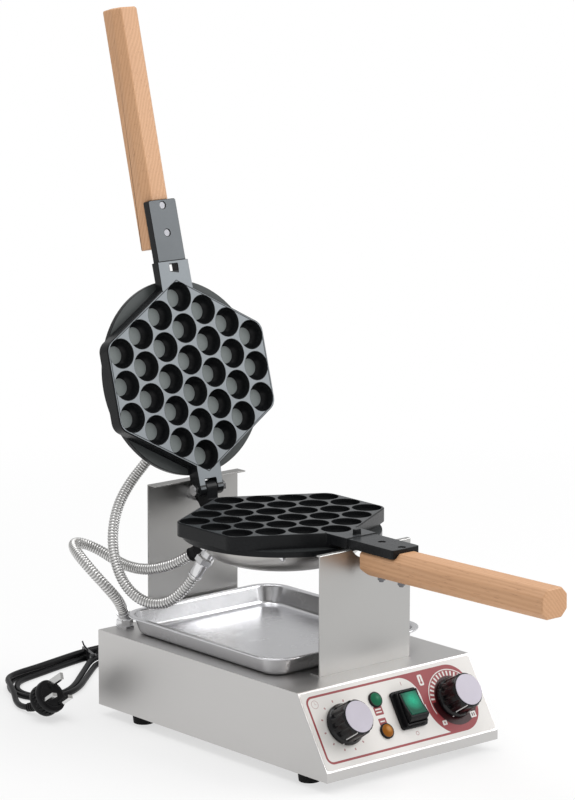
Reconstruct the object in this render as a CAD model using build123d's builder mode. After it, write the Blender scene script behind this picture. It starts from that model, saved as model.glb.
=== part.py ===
"""Bubble waffle maker: a slant-front counter base with two stands, a pair of hinged cast moulds
that turn together between the stands, wooden handles, steel conduits, knobs and a mains lead.

Millimetres, +Z up, X across, -Y to the front. The origin is on the counter under the middle of the base.
"""
from build123d import *
import math
import os

os.makedirs("parts", exist_ok=True)

# Base housing
base_width = 250.0
base_top = 100.0
foot_height = 12.0
lip_height = 10.3
slope_run = 48.4
front_shelf = 31.6
rear_shelf = 18.0
sheet = 1.2
bend_radius = 2.0
flange_width = 14.0
flange_end = 45.0
gap = 0.2
hole_clearance = 0.1
cut_over = 1.0
foot_inset = 19.0
foot_front_inset = 50.0
foot_rear_inset = 58.0
foot_radius = 13.0
foot_taper = 1.5
vent_pitch = 14.0
vent_count = 9
vent_width = 4.0
rear_vent_length = 24.0
rear_vent_rise = 12.0
plate_vent_length = 36.0
plate_vent_rows = 3
plate_vent_spacing = 60.0
plate_screw_front_inset = 78.4
plate_screw_rear_inset = 102.0

# Screws, by shank radius and head
small_shank = 2.0
small_head = 4.0
small_head_height = 1.6
small_head_taper = 0.8
screw_tail = 3.0
stand_shank = 2.5
stand_head = 4.6
stand_head_height = 2.8
stand_nut = 4.6
stand_nut_height = 3.5

# Control panel
label_thickness = 0.4
label_side_margin = 1.5
label_end_margin = 2.3
label_corner = 4.0
knob_x = 80.0
knob_up = 46.5
lamp_x = -27.0
green_lamp_up = 65.0
amber_lamp_up = 29.0
rocker_x = 12.0
rocker_up = 46.5

# Knobs and the controls behind them
knob_radius = 20.5
knob_skirt_radius = 23.2
knob_skirt_height = 3.0
knob_height = 27.2
knob_cap_radius = 17.6
knob_cap_thickness = 0.8
knob_lift = 1.0
knob_draft = 0.5
knob_edge = 2.0
knob_recess_radius = 9.5
knob_recess_depth = 4.0
knob_roof = 8.0
flute_count = 12
flute_radius = 3.4
flute_outset = 2.0
shaft_radius = 3.0
neck_radius = 4.75
shaft_play = 0.06
control_nut_radius = 7.5
control_nut_height = 2.4
timer_case = (46.0, 46.0)
timer_case_depth = 34.0
thermostat_case = (38.0, 44.0)
thermostat_case_depth = 26.0
shaft_inside = 14.0
case_corner = 3.0

# Pilot lamps
lamp_bezel_radius = 8.7
lamp_bezel_height = 2.5
lamp_bezel_chamfer = 0.7
lamp_lens_radius = 7.2
lamp_lens_seat = 0.8
lamp_dome = 2.6
lamp_stem_radius = 6.0
lamp_stem_length = 20.0

# Rocker switch
bezel_height = 3.5
bezel_side_lip = 3.6
bezel_end_lip = 2.4
bezel_corner = 4.0
switch_wall = 1.6
skirt_height = 9.0
rocker_radius = 17.3
rocker_width = 26.0
rocker_gap = 0.3
rocker_pivot_height = 5.0
rocker_crest = 7.5
rocker_hollow = 5.0
rocker_sink = 6.0
rocker_tilt = 13.0
rocker_pin_radius = 1.5
rocker_pin_length = 1.2
pin_clearance = 0.06
lens_width = 22.0
lens_down = 12.5
lens_up = 15.0
lens_thickness = 2.0
lens_proud = 0.5
switch_depth = 26.0
switch_cavity = 14.0

# Stands
stand_width = 132.0
stand_sheet = 1.5
stand_bend = 1.2
stand_foot = 14.0
stand_screw_inset = 14.0
stand_root_gap = 5.4
front_lip = 4.0
rear_stand_rise = 16.7
rear_lip = 14.0
cradle_clearance = 0.3
neck_rest_gap = 0.5

# Drip tray
tray_left_margin = 8.0
tray_right_margin = 13.0
tray_rear_gap = 6.0
tray_depth = 23.0
tray_sheet = 0.8
tray_rim = 7.0
tray_slope = 8.0
tray_corner = 32.0
tray_roll = 3.2

# Moulds
parting_height = 245.3
hinge_room = 15.56
hinge_setback = 26.1
hinge_rise = 8.1
open_angle = 105.35
parting_gap = 0.4
bubble_pitch = 36.4
bubble_radius = 16.5
bubble_depth = 14.5
bubble_lip = 3.0
bubble_floor_radius = 10.0
mould_edge = 19.0
mould_corner = 15.0
mould_round = 1.5
block_height = 16.0
rim_radius = 112.0
rim_thickness = 6.5
root_width = 44.0
root_start = 66.2
root_length = 19.56
root_height = 11.5
neck_width = 39.3
neck_thickness = 10.0
neck_drop = 1.0
neck_lap = 53.8
neck_overlap = 3.0
neck_corner = 2.5
peg_setback = 7.5
peg_width = 9.0
peg_length = 5.0
peg_height = 6.0
peg_clearance = 1.5
bolt_setbacks = (15.5, 47.2)
bolt_radius = 2.5
bolt_head_radius = 3.9
bolt_head_height = 2.0
bolt_head_sink = 1.0
bolt_tail = 2.0
washer_radius = 5.0
washer_thickness = 1.0
bolt_nut_radius = 4.4
bolt_nut_height = 4.0

# Hinge
knuckle_radius = 8.5
knuckle_half = 7.7
arm_gap = 0.4
arm_thickness = 9.0
slot_clearance = 1.5
pin_radius = 4.0
pin_play = 0.05
hinge_nut_radius = 6.5
hinge_nut_height = 4.5
hinge_nut_gap = 0.3
pin_tail = 1.0
lug_depth = 20.0
lug_overlap = 15.0
lug_lean = 0.5

# Pivot at the back of the lower mould
boss_reach = 9.6
boss_radius = 7.7
spigot_radius = 4.0
spigot_length = 4.3
pivot_radius = 7.0
pivot_play = 0.05
bush_radius = 10.5
bush_gap = 1.5
bush_collar_radius = 14.0
bush_collar_thickness = 3.0
pivot_end_gap = 1.0
thread_radius = 5.0
thread_length = 10.5
pivot_washer_radius = 10.0
pivot_washer_thickness = 1.5
pivot_nut_radius = 9.0
pivot_nut_height = 6.0

# Heaters and their covers
cover_radius = 93.0
cover_lip = 11.0
cover_wall = 4.0
cover_shoulder = (82.0, 19.0)
cover_floor_radius = 58.0
cover_depth = 27.0
cover_sheet = 1.0
cover_nut_count = 6
cover_nut_turn = 10.0
cover_nut_radius = 4.0
cover_nut_height = 3.0
cover_stud_radius = 1.8
element_radius = 68.0
element_tube = 4.2
element_arc = 330.0
wool_radius = 62.0
wool_thickness = 9.0
bulb_radius = 3.0
bulb_length = 90.0

# Handles
handle_gap = 10.1
handle_length = 277.0
handle_width = 37.0
handle_depth = 32.0
handle_chamfer = 8.0
handle_round = 2.2
handle_drop = 5.5
handle_tilt = 1.0
handle_nose = 9.0
lap_gap = 0.05

# Conduits, corrugated steel
conduit_radius = 6.25
ferrule_radius = 7.6
ferrule_length = 10.0
gland_nut_radius = 11.0
gland_thread = 8.0
conduit_upper_offsets = [
    (-36.0, 21.51, -83.35), (-48.0, 39.43, -88.18), (-67.0, 54.36, -95.01), (-90.0, 61.28, -104.84),
    (-106.0, 65.21, -117.67), (-113.0, 69.13, -133.5), (-113.0, 70.06, -148.33), (-108.0, 65.98, -155.66),
    (-100.0, 57.9, -152.98), (-90.5, 49.83, -137.81), (-80.5, 46.75, -110.14), (-72.0, 48.18, -78.47),
    (-66.5, 51.6, -48.3),
]
conduit_lower_offsets = [
    (-56.6, 68.6, -42.3), (-58.06, 76.01, -46.23), (-61.11, 90.42, -52.16), (-62.97, 112.83, -52.58),
    (-59.22, 136.24, -44.51), (-56.28, 154.66, -31.44), (-57.33, 166.07, -16.37), (-63.39, 170.48, -2.29),
    (-72.44, 164.89, 9.78), (-80.5, 147.3, 18.85), (-83.06, 121.71, 24.42), (-78.61, 93.12, 24.49),
    (-66.17, 67.53, 20.57), (-47.72, 47.94, 15.14), (-26.78, 34.86, 10.71), (-7.33, 26.27, 7.78),
    (9.11, 19.68, 5.36), (21.06, 13.09, 3.93), (28.0, 4.5, 3.0),
]

# Mains lead
lead_radius = 3.4
lead_exit_x = 36.0
lead_exit_z = 38.0
cable_gland_radius = 9.5
cable_gland_hex = 7.0
cable_gland_thread = 6.5
cable_gland_tail = 13.0
cable_gland_tip = 5.2
cable_gland_grip = 9.0
cable_nut_radius = 10.0
cable_nut_height = 4.0
lead_points = [
    (36.0, 39.0, 38.0), (37.5, 61.0, 33.0), (42.0, 84.0, 24.0), (49.0, 107.0, 14.5), (58.5, 130.0, 7.5),
    (69.5, 150.0, 4.6), (74.5, 166.0, 4.2),
]
tail_points = [
    (-154.3, 118.5, 5.0), (-166.0, 104.0, 4.6), (-177.0, 86.0, 4.2), (-183.5, 66.0, 4.6),
]
hank_left = (-112.0, 126.0)
hank_left_radius = 47.0
hank_waist = (0.0, 182.0)
hank_waist_radius = 18.0
hank_right = (50.0, 170.0)
hank_right_radius = 30.0
hank_strand = 14.0
hank_height = 13.6
tie_turn = 70.0
tie_width = 4.0
tie_thickness = 1.0
plug_centre = (-178.5, 16.9)
plug_heading = -80.0
plug_lean = 35.0
plug_roll = -20.0
plug_radius = 19.5
plug_length = 22.0
plug_round = 2.5
plug_lead_in = 12.0
blade_width = 6.35
blade_thickness = 4.0
blade_length = 17.7
blade_pitch = 22.2
blade_drop = 8.3
earth_blade_width = 4.0
earth_blade_height = 8.0
earth_blade_length = 22.7
earth_blade_rise = 13.9

# Terminal block inside the base
terminal_size = (52.0, 20.0, 16.0)
terminal_place = (20.0, 120.0)
terminal_ways = 5
terminal_hole = 2.2
terminal_hole_depth = 5.0

# Places worked out from the sizes above
column_step = bubble_pitch * math.sqrt(3) / 2
block_flat = 3 * column_step + mould_edge
block_slant = 2.5 * column_step + mould_edge
block_side = (2 * block_slant - block_flat) / math.sqrt(3)
block_apex = 2 * block_slant / math.sqrt(3)
root_end = block_apex + root_length
hinge_reach = block_apex + hinge_room
front_stand_reach = root_end + stand_root_gap + stand_sheet
handle_start = front_stand_reach + handle_gap
handle_end = handle_start + handle_length
neck_end = handle_start + neck_lap
bolt_reaches = [handle_start + setback for setback in bolt_setbacks]
base_depth = slope_run + front_shelf + front_stand_reach + hinge_reach + hinge_setback + rear_shelf
base_half = base_width / 2
rear_y = base_depth / 2
rear_stand_y = rear_y - rear_shelf
hinge_y = rear_stand_y - hinge_setback
mould_y = hinge_y - hinge_reach
front_stand_y = mould_y - front_stand_reach
boss_end = hinge_y + boss_reach
bush_front = boss_end + bush_gap
tray_left = tray_left_margin - base_half
tray_right = base_half - tray_right_margin
tray_front = front_stand_y + stand_sheet + stand_foot
tray_rear = rear_stand_y - tray_rear_gap
cover_lip_radius = cover_radius + cover_lip
cover_nut_ring = cover_radius + cover_lip / 2
slope_foot_z = foot_height + lip_height
slope_top_y = slope_run - rear_y
slope_rise = base_top - slope_foot_z
slope_length = math.hypot(slope_run, slope_rise)
panel_out = Vector(0, -slope_rise, slope_run) / slope_length
tilt = math.radians(open_angle)
hinge_z = parting_height + hinge_rise
arm_inner = knuckle_half + arm_gap
arm_outer = arm_inner + arm_thickness
cast_height = block_height + rim_thickness
neck_underside = parting_height - neck_drop - neck_thickness
turning_radius = math.hypot(neck_width / 2, neck_drop + neck_thickness)
front_stand_top = neck_underside - neck_rest_gap
rear_stand_top = parting_height + rear_stand_rise
bush_rear = rear_stand_y + stand_sheet + bush_collar_thickness
stand_screw_x = stand_width / 2 - stand_screw_inset
stand_screw_places = [
    (side * stand_screw_x, plate_y + (stand_sheet + stand_foot) / 2)
    for plate_y in (front_stand_y, rear_stand_y)
    for side in (-1, 1)
]
foot_places = [
    (side * (base_half - foot_inset), y)
    for side in (-1, 1)
    for y in (foot_front_inset - rear_y, rear_y - foot_rear_inset)
]
plate_screw_places = [
    (side * (base_half - sheet - flange_width / 2), y)
    for side in (-1, 1)
    for y in (plate_screw_front_inset - rear_y, 0.0, rear_y - plate_screw_rear_inset)
]
rocker_opening = (rocker_width + 2 * rocker_gap, 2 * (rocker_radius + rocker_gap))
switch_size = (rocker_opening[0] + 2 * switch_wall, rocker_opening[1] + 2 * switch_wall)

panel = Plane(origin=(0, -rear_y, slope_foot_z), x_dir=(1, 0, 0), z_dir=panel_out)
label_face = panel.offset(label_thickness)
lower_seat = Plane(origin=(0, mould_y, parting_height), x_dir=(1, 0, 0), z_dir=(0, 0, -1))
lid_rise = hinge_rise - parting_gap
lid_back = hinge_reach * math.cos(tilt) + lid_rise * math.sin(tilt)
lid_up = hinge_reach * math.sin(tilt) - lid_rise * math.cos(tilt)
upper_seat = Plane(
    origin=(0, hinge_y - lid_back, hinge_z + lid_up),
    x_dir=(-1, 0, 0),
    z_dir=(0, math.sin(tilt), math.cos(tilt)),
)


def hand_in(piece, name):
    """Label a finished piece and write its file."""
    piece.part.label = name
    export_step(piece.part, f"parts/{name}.step")


def moved(seat, x=0.0, y=0.0, z=0.0):
    """The same plane with its origin at a point given in the plane's own axes."""
    origin = seat.origin + seat.x_dir * x + seat.y_dir * y + seat.z_dir * z
    return Plane(origin=origin, x_dir=seat.x_dir, z_dir=seat.z_dir)


def side_plane(seat):
    """The plane through the seat's Y and Z axes: its own X is the seat's Y, its Y the seat's Z."""
    return Plane(origin=seat.origin, x_dir=seat.y_dir, z_dir=seat.x_dir)


def turning_plane(seat):
    """The plane through the seat's X and Z axes, for outlines turned about the seat's Z axis."""
    return Plane(origin=seat.origin, x_dir=seat.x_dir, z_dir=-seat.y_dir)


def turned(seat, outline):
    """Turn a closed outline of (radius, height) points about the seat's Z axis, in the open part."""
    with BuildSketch(turning_plane(seat)) as profile:
        with BuildLine():
            Polyline(*outline, close=True)
        make_face()
    revolve(profile.sketch, axis=Axis(seat.origin, seat.z_dir))


def bubble_places():
    """Centres of the cavities: seven columns, each half a pitch off the next."""
    places = []
    for column in range(-3, 4):
        count = 6 - abs(column)
        for row in range(count):
            places.append((column * column_step, (row - (count - 1) / 2) * bubble_pitch))
    return places


def block_corners():
    """The six corners of the casting, a set margin outside the outer rows of cavities."""
    return [
        (block_flat, block_side), (0, block_apex), (-block_flat, block_side),
        (-block_flat, -block_side), (0, -block_apex), (block_flat, -block_side),
    ]


def tangent_radii(points):
    """The radius that each bend of a route allows, from its shorter run and its turn."""
    radii = []
    for before, corner, after in zip(points, points[1:], points[2:]):
        first = Vector(*corner) - Vector(*before)
        second = Vector(*after) - Vector(*corner)
        half_turn = math.radians(first.get_angle(second)) / 2
        radii.append(0.45 * min(first.length, second.length) / math.tan(half_turn))
    return radii


def tube(points, radius, name):
    """A cord or conduit as straight runs joined by tangent arcs."""
    radii = tangent_radii(points)
    with BuildPart() as cord:
        with BuildLine() as route:
            FilletPolyline(*points, radius=radii)
        path = route.wire()
        with BuildSketch(Plane(origin=path @ 0, z_dir=path % 0)):
            Circle(radius)
        sweep(path=path)
    ratio = cord.part.volume / (math.pi * radius**2 * path.length)
    print(name, "length", round(path.length, 1), "volume over section by length", round(ratio, 4))
    print("  radii", [round(value) for value in radii])
    hand_in(cord, name)


def followed(offsets, first, last):
    """A conduit's points, each given from a spot that moves from its first anchor to its last."""
    steps = len(offsets) - 1
    return [
        tuple(first + (last - first) * (index / steps) + Vector(*offset))
        for index, offset in enumerate(offsets)
    ]


def behind(x, y, z=0.0):
    """A point given from the middle of the housing's back, on the counter."""
    return (x, rear_y + y, z)


def fitting_plane(end, beside):
    """The plane at a conduit's end, facing on along the conduit's last run."""
    return Plane(origin=end, z_dir=Vector(*end) - Vector(*beside))


base_anchor = Vector(-base_half, rear_stand_y, base_top)
conduit_upper_route = followed(conduit_upper_offsets, upper_seat.origin, lower_seat.origin)
conduit_lower_route = followed(conduit_lower_offsets, lower_seat.origin, base_anchor)
lead_start = (lead_exit_x, rear_y + cable_gland_hex + cable_gland_tail, lead_exit_z)
lead_route = [lead_start] + [behind(*point) for point in lead_points]
plug_turned = math.radians(plug_heading)
plug_tipped = math.radians(plug_lean)
plug_rise = plug_radius * math.cos(plug_tipped) + plug_length * math.sin(plug_tipped)
plug_along = Vector(
    math.cos(plug_tipped) * math.cos(plug_turned),
    math.cos(plug_tipped) * math.sin(plug_turned),
    math.sin(plug_tipped),
)
plug_front = Vector(*behind(*plug_centre, plug_rise))
plug_rear = plug_front - plug_along * plug_length
tail_route = [behind(*point) for point in tail_points]
tail_route += [tuple(plug_rear - plug_along * plug_lead_in), tuple(plug_rear)]

upper_fitting_seat = fitting_plane(conduit_upper_route[0], conduit_upper_route[1])
lower_fitting_seats = [
    fitting_plane(conduit_upper_route[-1], conduit_upper_route[-2]),
    fitting_plane(conduit_lower_route[0], conduit_lower_route[1]),
]


def lug_outline(is_upper):
    """Outline of the arm between a casting and its hinge knuckle, in the side plane."""
    root = lug_overlap - block_apex
    if is_upper:
        return [
            (root, 0), (-hinge_reach, 0), (-hinge_reach, block_height), (root, block_height),
        ]
    knuckle_front = knuckle_radius - hinge_reach
    return [
        (root, bubble_lip), (knuckle_front + lug_lean, bubble_lip), (knuckle_front, -hinge_rise),
        (-hinge_reach - knuckle_radius, -hinge_rise), (mould_y - boss_end, -boss_radius / 2),
        (mould_y - boss_end, boss_radius), (-hinge_reach, lug_depth), (root, cast_height - lug_lean),
    ]


with BuildPart() as bubble:
    with BuildSketch(Plane.XZ):
        with BuildLine():
            Polyline(
                (bubble_floor_radius, bubble_depth), (0, bubble_depth), (0, -cut_over),
                (bubble_radius, -cut_over), (bubble_radius, bubble_lip),
            )
            TangentArc((bubble_radius, bubble_lip), (bubble_floor_radius, bubble_depth), tangent=(0, 1))
        make_face()
    revolve(axis=Axis.Z)


def mould(seat, is_upper):
    """One casting: hexagonal block, round rim behind it, neck, hinge knuckles and thirty cavities."""
    pin_place = (-hinge_reach, lid_rise if is_upper else -hinge_rise)
    with BuildPart() as cast:
        with BuildSketch(seat):
            with BuildLine():
                Polyline(*block_corners(), close=True)
            make_face()
            fillet(vertices(), mould_corner)
        extrude(amount=block_height)
        fillet(faces().sort_by(Axis(seat.origin, seat.z_dir))[0].edges(), mould_round)
        with BuildSketch(seat.offset(block_height)):
            Circle(rim_radius)
        extrude(amount=rim_thickness)
        with BuildSketch(seat):
            with Locations((0, (root_start + root_end) / 2)):
                Rectangle(root_width, root_end - root_start)
        extrude(amount=root_height)
        with BuildSketch(seat.offset(neck_drop)):
            with Locations((0, (root_end - neck_overlap + neck_end) / 2)):
                RectangleRounded(neck_width, neck_end - root_end + neck_overlap, neck_corner)
        extrude(amount=neck_thickness)
        with BuildSketch(side_plane(seat)):
            with BuildLine():
                Polyline(*lug_outline(is_upper), close=True)
            make_face()
            with Locations(pin_place):
                Circle(knuckle_radius)
        extrude(amount=arm_outer if is_upper else knuckle_half, both=True)
        if is_upper:
            with BuildSketch(side_plane(seat)):
                with Locations(pin_place):
                    Rectangle(2 * (knuckle_radius + slot_clearance), 2 * (knuckle_radius + slot_clearance))
            extrude(amount=arm_inner, both=True, mode=Mode.SUBTRACT)
        else:
            with BuildSketch(Plane(origin=(0, hinge_y, parting_height), z_dir=(0, 1, 0))):
                Circle(boss_radius)
            extrude(amount=boss_end - hinge_y)
            with BuildSketch(Plane(origin=(0, boss_end, parting_height), z_dir=(0, -1, 0))):
                Circle(spigot_radius)
            extrude(amount=spigot_length, mode=Mode.SUBTRACT)
        with BuildSketch(side_plane(seat)):
            with Locations(pin_place):
                Circle(pin_radius + pin_play)
        extrude(amount=arm_outer + cut_over, both=True, mode=Mode.SUBTRACT)
        with BuildSketch(seat.offset(neck_drop)):
            with Locations(*[(0, reach) for reach in bolt_reaches]):
                Circle(bolt_radius + hole_clearance)
        extrude(amount=neck_thickness, mode=Mode.SUBTRACT)
        with BuildSketch(seat.offset(neck_drop)):
            with Locations(*[(0, reach) for reach in bolt_reaches]):
                Circle(bolt_head_radius + gap)
        extrude(amount=bolt_head_sink + bolt_head_height, mode=Mode.SUBTRACT)
        if is_upper:
            with BuildSketch(seat):
                with Locations((0, root_end - peg_setback)):
                    Rectangle(peg_width + 2 * peg_clearance, peg_length + 2 * peg_clearance)
            extrude(amount=root_height, mode=Mode.SUBTRACT)
        else:
            with BuildSketch(seat):
                with Locations((0, root_end - peg_setback)):
                    RectangleRounded(peg_width, peg_length, peg_length / 4)
            extrude(amount=-peg_height)
        with Locations(*[Location(moved(seat, x, y)) for x, y in bubble_places()]):
            add(bubble.part, mode=Mode.SUBTRACT)
    return cast


def heater_cover(seat, fitting_seats):
    """The spun steel dish over a heater, open towards the casting, with holes for the conduits."""
    shoulder_radius, shoulder_height = cover_shoulder
    with BuildPart() as dish:
        with BuildSketch(turning_plane(seat.offset(cast_height))):
            with BuildLine():
                outer = ThreePointArc(
                    (cover_radius, cover_wall),
                    (shoulder_radius, shoulder_height),
                    (cover_floor_radius, cover_depth),
                )
                inner = ThreePointArc(
                    (cover_radius - cover_sheet, cover_wall),
                    (shoulder_radius - 0.7 * cover_sheet, shoulder_height - 0.7 * cover_sheet),
                    (cover_floor_radius, cover_depth - cover_sheet),
                )
                Polyline(inner @ 1, (0, cover_depth - cover_sheet), (0, cover_depth), outer @ 1)
                Polyline(
                    outer @ 0, (cover_radius, cover_sheet), (cover_lip_radius, cover_sheet),
                    (cover_lip_radius, 0), (cover_radius - cover_sheet, 0), inner @ 0,
                )
            make_face()
        revolve(axis=Axis(seat.origin, seat.z_dir))
        with BuildSketch(seat.offset(cast_height)):
            with PolarLocations(cover_nut_ring, cover_nut_count, start_angle=cover_nut_turn):
                Circle(cover_stud_radius + hole_clearance)
        extrude(amount=cover_sheet, mode=Mode.SUBTRACT)
        for fitting_seat in fitting_seats:
            with BuildSketch(fitting_seat):
                Circle(ferrule_radius)
            extrude(amount=1.5 * ferrule_length, both=True, mode=Mode.SUBTRACT)
    return dish


def cover_nuts(seat):
    """Dome nuts and their studs, which hold the heater cover to the rim."""
    base = cast_height + cover_sheet
    with BuildPart() as nuts:
        with BuildSketch(seat.offset(base)):
            with PolarLocations(cover_nut_ring, cover_nut_count, start_angle=cover_nut_turn):
                RegularPolygon(cover_nut_radius, 6)
        extrude(amount=cover_nut_height)
        with BuildSketch(seat.offset(base)):
            with PolarLocations(cover_nut_ring, cover_nut_count, start_angle=cover_nut_turn):
                Circle(cover_stud_radius)
        extrude(amount=-cover_sheet)
        for index in range(cover_nut_count):
            angle = math.radians(cover_nut_turn + index * 360 / cover_nut_count)
            place = (cover_nut_ring * math.cos(angle), cover_nut_ring * math.sin(angle))
            nut_seat = moved(seat, *place, base + cover_nut_height)
            with BuildSketch(turning_plane(nut_seat)):
                with BuildLine():
                    Polyline((0, 0.8 * cover_nut_radius), (0, 0), (0.8 * cover_nut_radius, 0))
                    CenterArc((0, 0), 0.8 * cover_nut_radius, 0, 90)
                make_face()
            revolve(axis=Axis(nut_seat.origin, nut_seat.z_dir))
    return nuts


def heating_element(seat):
    """Tubular ring heater lying on the back of the casting."""
    with BuildPart() as ring:
        with BuildSketch(turning_plane(seat.offset(cast_height))):
            with Locations((element_radius, element_tube)):
                Circle(element_tube)
        revolve(axis=Axis(seat.origin, seat.z_dir), revolution_arc=element_arc)
    return ring


def insulation(seat):
    """Mineral wool pad between the element and the cover."""
    with BuildPart() as pad:
        with BuildSketch(seat.offset(cast_height + 2 * element_tube + gap)):
            Circle(wool_radius)
        extrude(amount=wool_thickness)
    return pad


def wood_underside(reach):
    """Depth of the handle's underside below the parting face at a reach along it."""
    lean = math.radians(handle_tilt)
    return handle_drop + handle_depth / math.cos(lean) + (neck_end - reach) * math.tan(lean)


def handle(seat):
    """Eight-sided wooden handle, half lapped under the neck, leaning to the parting face."""
    lean = math.radians(handle_tilt)
    middle = wood_underside(handle_start) - handle_depth / 2
    along = seat.y_dir * math.cos(lean) - seat.z_dir * math.sin(lean)
    section = Plane(origin=moved(seat, 0, handle_start, middle).origin, x_dir=seat.x_dir, z_dir=along)
    lap_end = neck_end + lap_gap
    lap_depth = neck_drop + neck_thickness + lap_gap
    with BuildPart() as wood:
        with BuildSketch(section):
            Rectangle(handle_width, handle_depth)
            chamfer(vertices(), handle_chamfer)
        extrude(amount=(handle_end - handle_start) / math.cos(lean))
        fillet(faces().sort_by(Axis(seat.origin, seat.y_dir))[-1].edges(), handle_round)
        with BuildSketch(side_plane(seat)):
            with BuildLine():
                Polyline(
                    (0, -handle_depth), (lap_end, -handle_depth), (lap_end, lap_depth), (0, lap_depth),
                    close=True,
                )
            make_face()
        extrude(amount=handle_width, both=True, mode=Mode.SUBTRACT)
        near_end = faces().sort_by(Axis(seat.origin, seat.y_dir))[0]
        fillet(near_end.edges().sort_by(Axis(seat.origin, seat.z_dir))[-1], handle_nose)
        with BuildSketch(seat):
            with Locations(*[(0, reach) for reach in bolt_reaches]):
                Circle(bolt_radius + hole_clearance)
        extrude(amount=3 * handle_depth, mode=Mode.SUBTRACT)
    return wood


def handle_bolts(seat):
    """Two screws sunk in the neck, each through the wood to a washer and a nut below."""
    head_top = neck_drop + bolt_head_sink
    head_foot = head_top + bolt_head_height
    with BuildPart() as bolts:
        for reach in bolt_reaches:
            below = wood_underside(reach) + hole_clearance
            tail = below + washer_thickness + bolt_nut_height + bolt_tail
            with BuildSketch(moved(seat, 0, reach, head_top)):
                Circle(bolt_head_radius)
            extrude(amount=bolt_head_height)
            with BuildSketch(moved(seat, 0, reach, head_foot)):
                Circle(bolt_radius)
            extrude(amount=tail - head_foot)
            with BuildSketch(moved(seat, 0, reach, below)):
                Circle(washer_radius)
            extrude(amount=washer_thickness)
            with BuildSketch(moved(seat, 0, reach, below + washer_thickness)):
                RegularPolygon(bolt_nut_radius, 6)
            extrude(amount=bolt_nut_height)
    return bolts


def fittings(fitting_seats):
    """Plain ferrules that take the conduits through a heater cover."""
    with BuildPart() as ferrules:
        for fitting_seat in fitting_seats:
            with BuildSketch(fitting_seat):
                Circle(ferrule_radius)
            extrude(amount=ferrule_length)
    return ferrules


def panel_cutouts():
    """Holes for the controls, drawn in the open sketch on the panel."""
    with Locations((-knob_x, knob_up), (knob_x, knob_up)):
        Circle(neck_radius + hole_clearance)
    with Locations((lamp_x, green_lamp_up), (lamp_x, amber_lamp_up)):
        Circle(lamp_stem_radius + hole_clearance)
    with Locations((rocker_x, rocker_up)):
        Rectangle(switch_size[0] + 2 * hole_clearance, switch_size[1] + 2 * hole_clearance)


def control(x, name, case, case_depth):
    """A rotary control: case with threaded neck, shaft, fluted knob and the disc in its face."""
    inside = moved(panel, x, knob_up, -sheet)
    face = moved(label_face, x, knob_up)
    seat = face.offset(knob_lift)
    neck_length = sheet + label_thickness + control_nut_height + gap
    with BuildPart() as body:
        with BuildSketch(inside):
            RectangleRounded(*case, case_corner)
        extrude(amount=-case_depth)
        with BuildSketch(inside):
            Circle(neck_radius)
        extrude(amount=neck_length)
        with BuildSketch(inside.offset(neck_length)):
            Circle(shaft_radius + shaft_play)
        extrude(amount=-(neck_length + shaft_inside + gap), mode=Mode.SUBTRACT)
    hand_in(body, f"{name}_body")
    with BuildPart() as shaft:
        with BuildSketch(inside.offset(-shaft_inside)):
            Circle(shaft_radius)
        extrude(amount=shaft_inside + sheet + label_thickness + knob_lift + knob_height - knob_roof)
    hand_in(shaft, f"{name}_shaft")
    with BuildPart() as knob:
        turned(seat, [
            (0, knob_recess_depth), (knob_recess_radius, knob_recess_depth), (knob_recess_radius, 0),
            (knob_skirt_radius, 0), (knob_skirt_radius, knob_skirt_height),
            (knob_radius + knob_draft, 2 * knob_skirt_height),
            (knob_radius - knob_draft, knob_height - knob_edge),
            (knob_radius - knob_draft - knob_edge, knob_height), (0, knob_height),
        ])
        with BuildSketch(seat.offset(2 * knob_skirt_height)):
            with PolarLocations(knob_radius + flute_outset, flute_count):
                Circle(flute_radius)
        extrude(amount=knob_height, mode=Mode.SUBTRACT)
        with BuildSketch(seat):
            Circle(shaft_radius)
        extrude(amount=knob_height - knob_roof, mode=Mode.SUBTRACT)
    hand_in(knob, f"{name}_knob")
    with BuildPart() as cap:
        with BuildSketch(seat.offset(knob_height)):
            Circle(knob_cap_radius)
        extrude(amount=knob_cap_thickness)
    hand_in(cap, f"{name}_knob_cap")


def stand(plate_y, top, lip, lip_side, cut_radius, open_top, name):
    """A bent sheet stand with a foot flange, a top flange and a round seat about the turning axis."""
    front = plate_y
    back = plate_y + stand_sheet
    outer_face, inner_face = (front, back) if lip_side > 0 else (back, front)
    lip_edge = inner_face + lip_side * lip
    with BuildPart() as plate:
        with BuildSketch(Plane.YZ):
            with BuildLine():
                Polyline(
                    (outer_face, base_top), (outer_face, top), (lip_edge, top),
                    (lip_edge, top - stand_sheet), (inner_face, top - stand_sheet),
                    (inner_face, base_top), close=True,
                )
            make_face()
            with Locations(((front + back + stand_foot) / 2, base_top + stand_sheet / 2)):
                Rectangle(stand_sheet + stand_foot, stand_sheet)
        extrude(amount=stand_width / 2, both=True)
        top_edges = edges().filter_by(Axis.X).group_by(Axis.Z)[-1].sort_by(Axis.Y)
        fillet(top_edges[0 if lip_side > 0 else -1], stand_bend)
        with BuildSketch(Plane(origin=(0, rear_y, parting_height), z_dir=(0, -1, 0))):
            Circle(cut_radius)
            if open_top:
                with Locations((0, cut_radius)):
                    Rectangle(2 * cut_radius, 2 * cut_radius)
        extrude(amount=base_depth, mode=Mode.SUBTRACT)
        with BuildSketch(Plane.XY.offset(base_top)):
            with Locations(*stand_screw_places):
                Circle(stand_shank + hole_clearance)
        extrude(amount=stand_sheet, mode=Mode.SUBTRACT)
    hand_in(plate, name)


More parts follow.
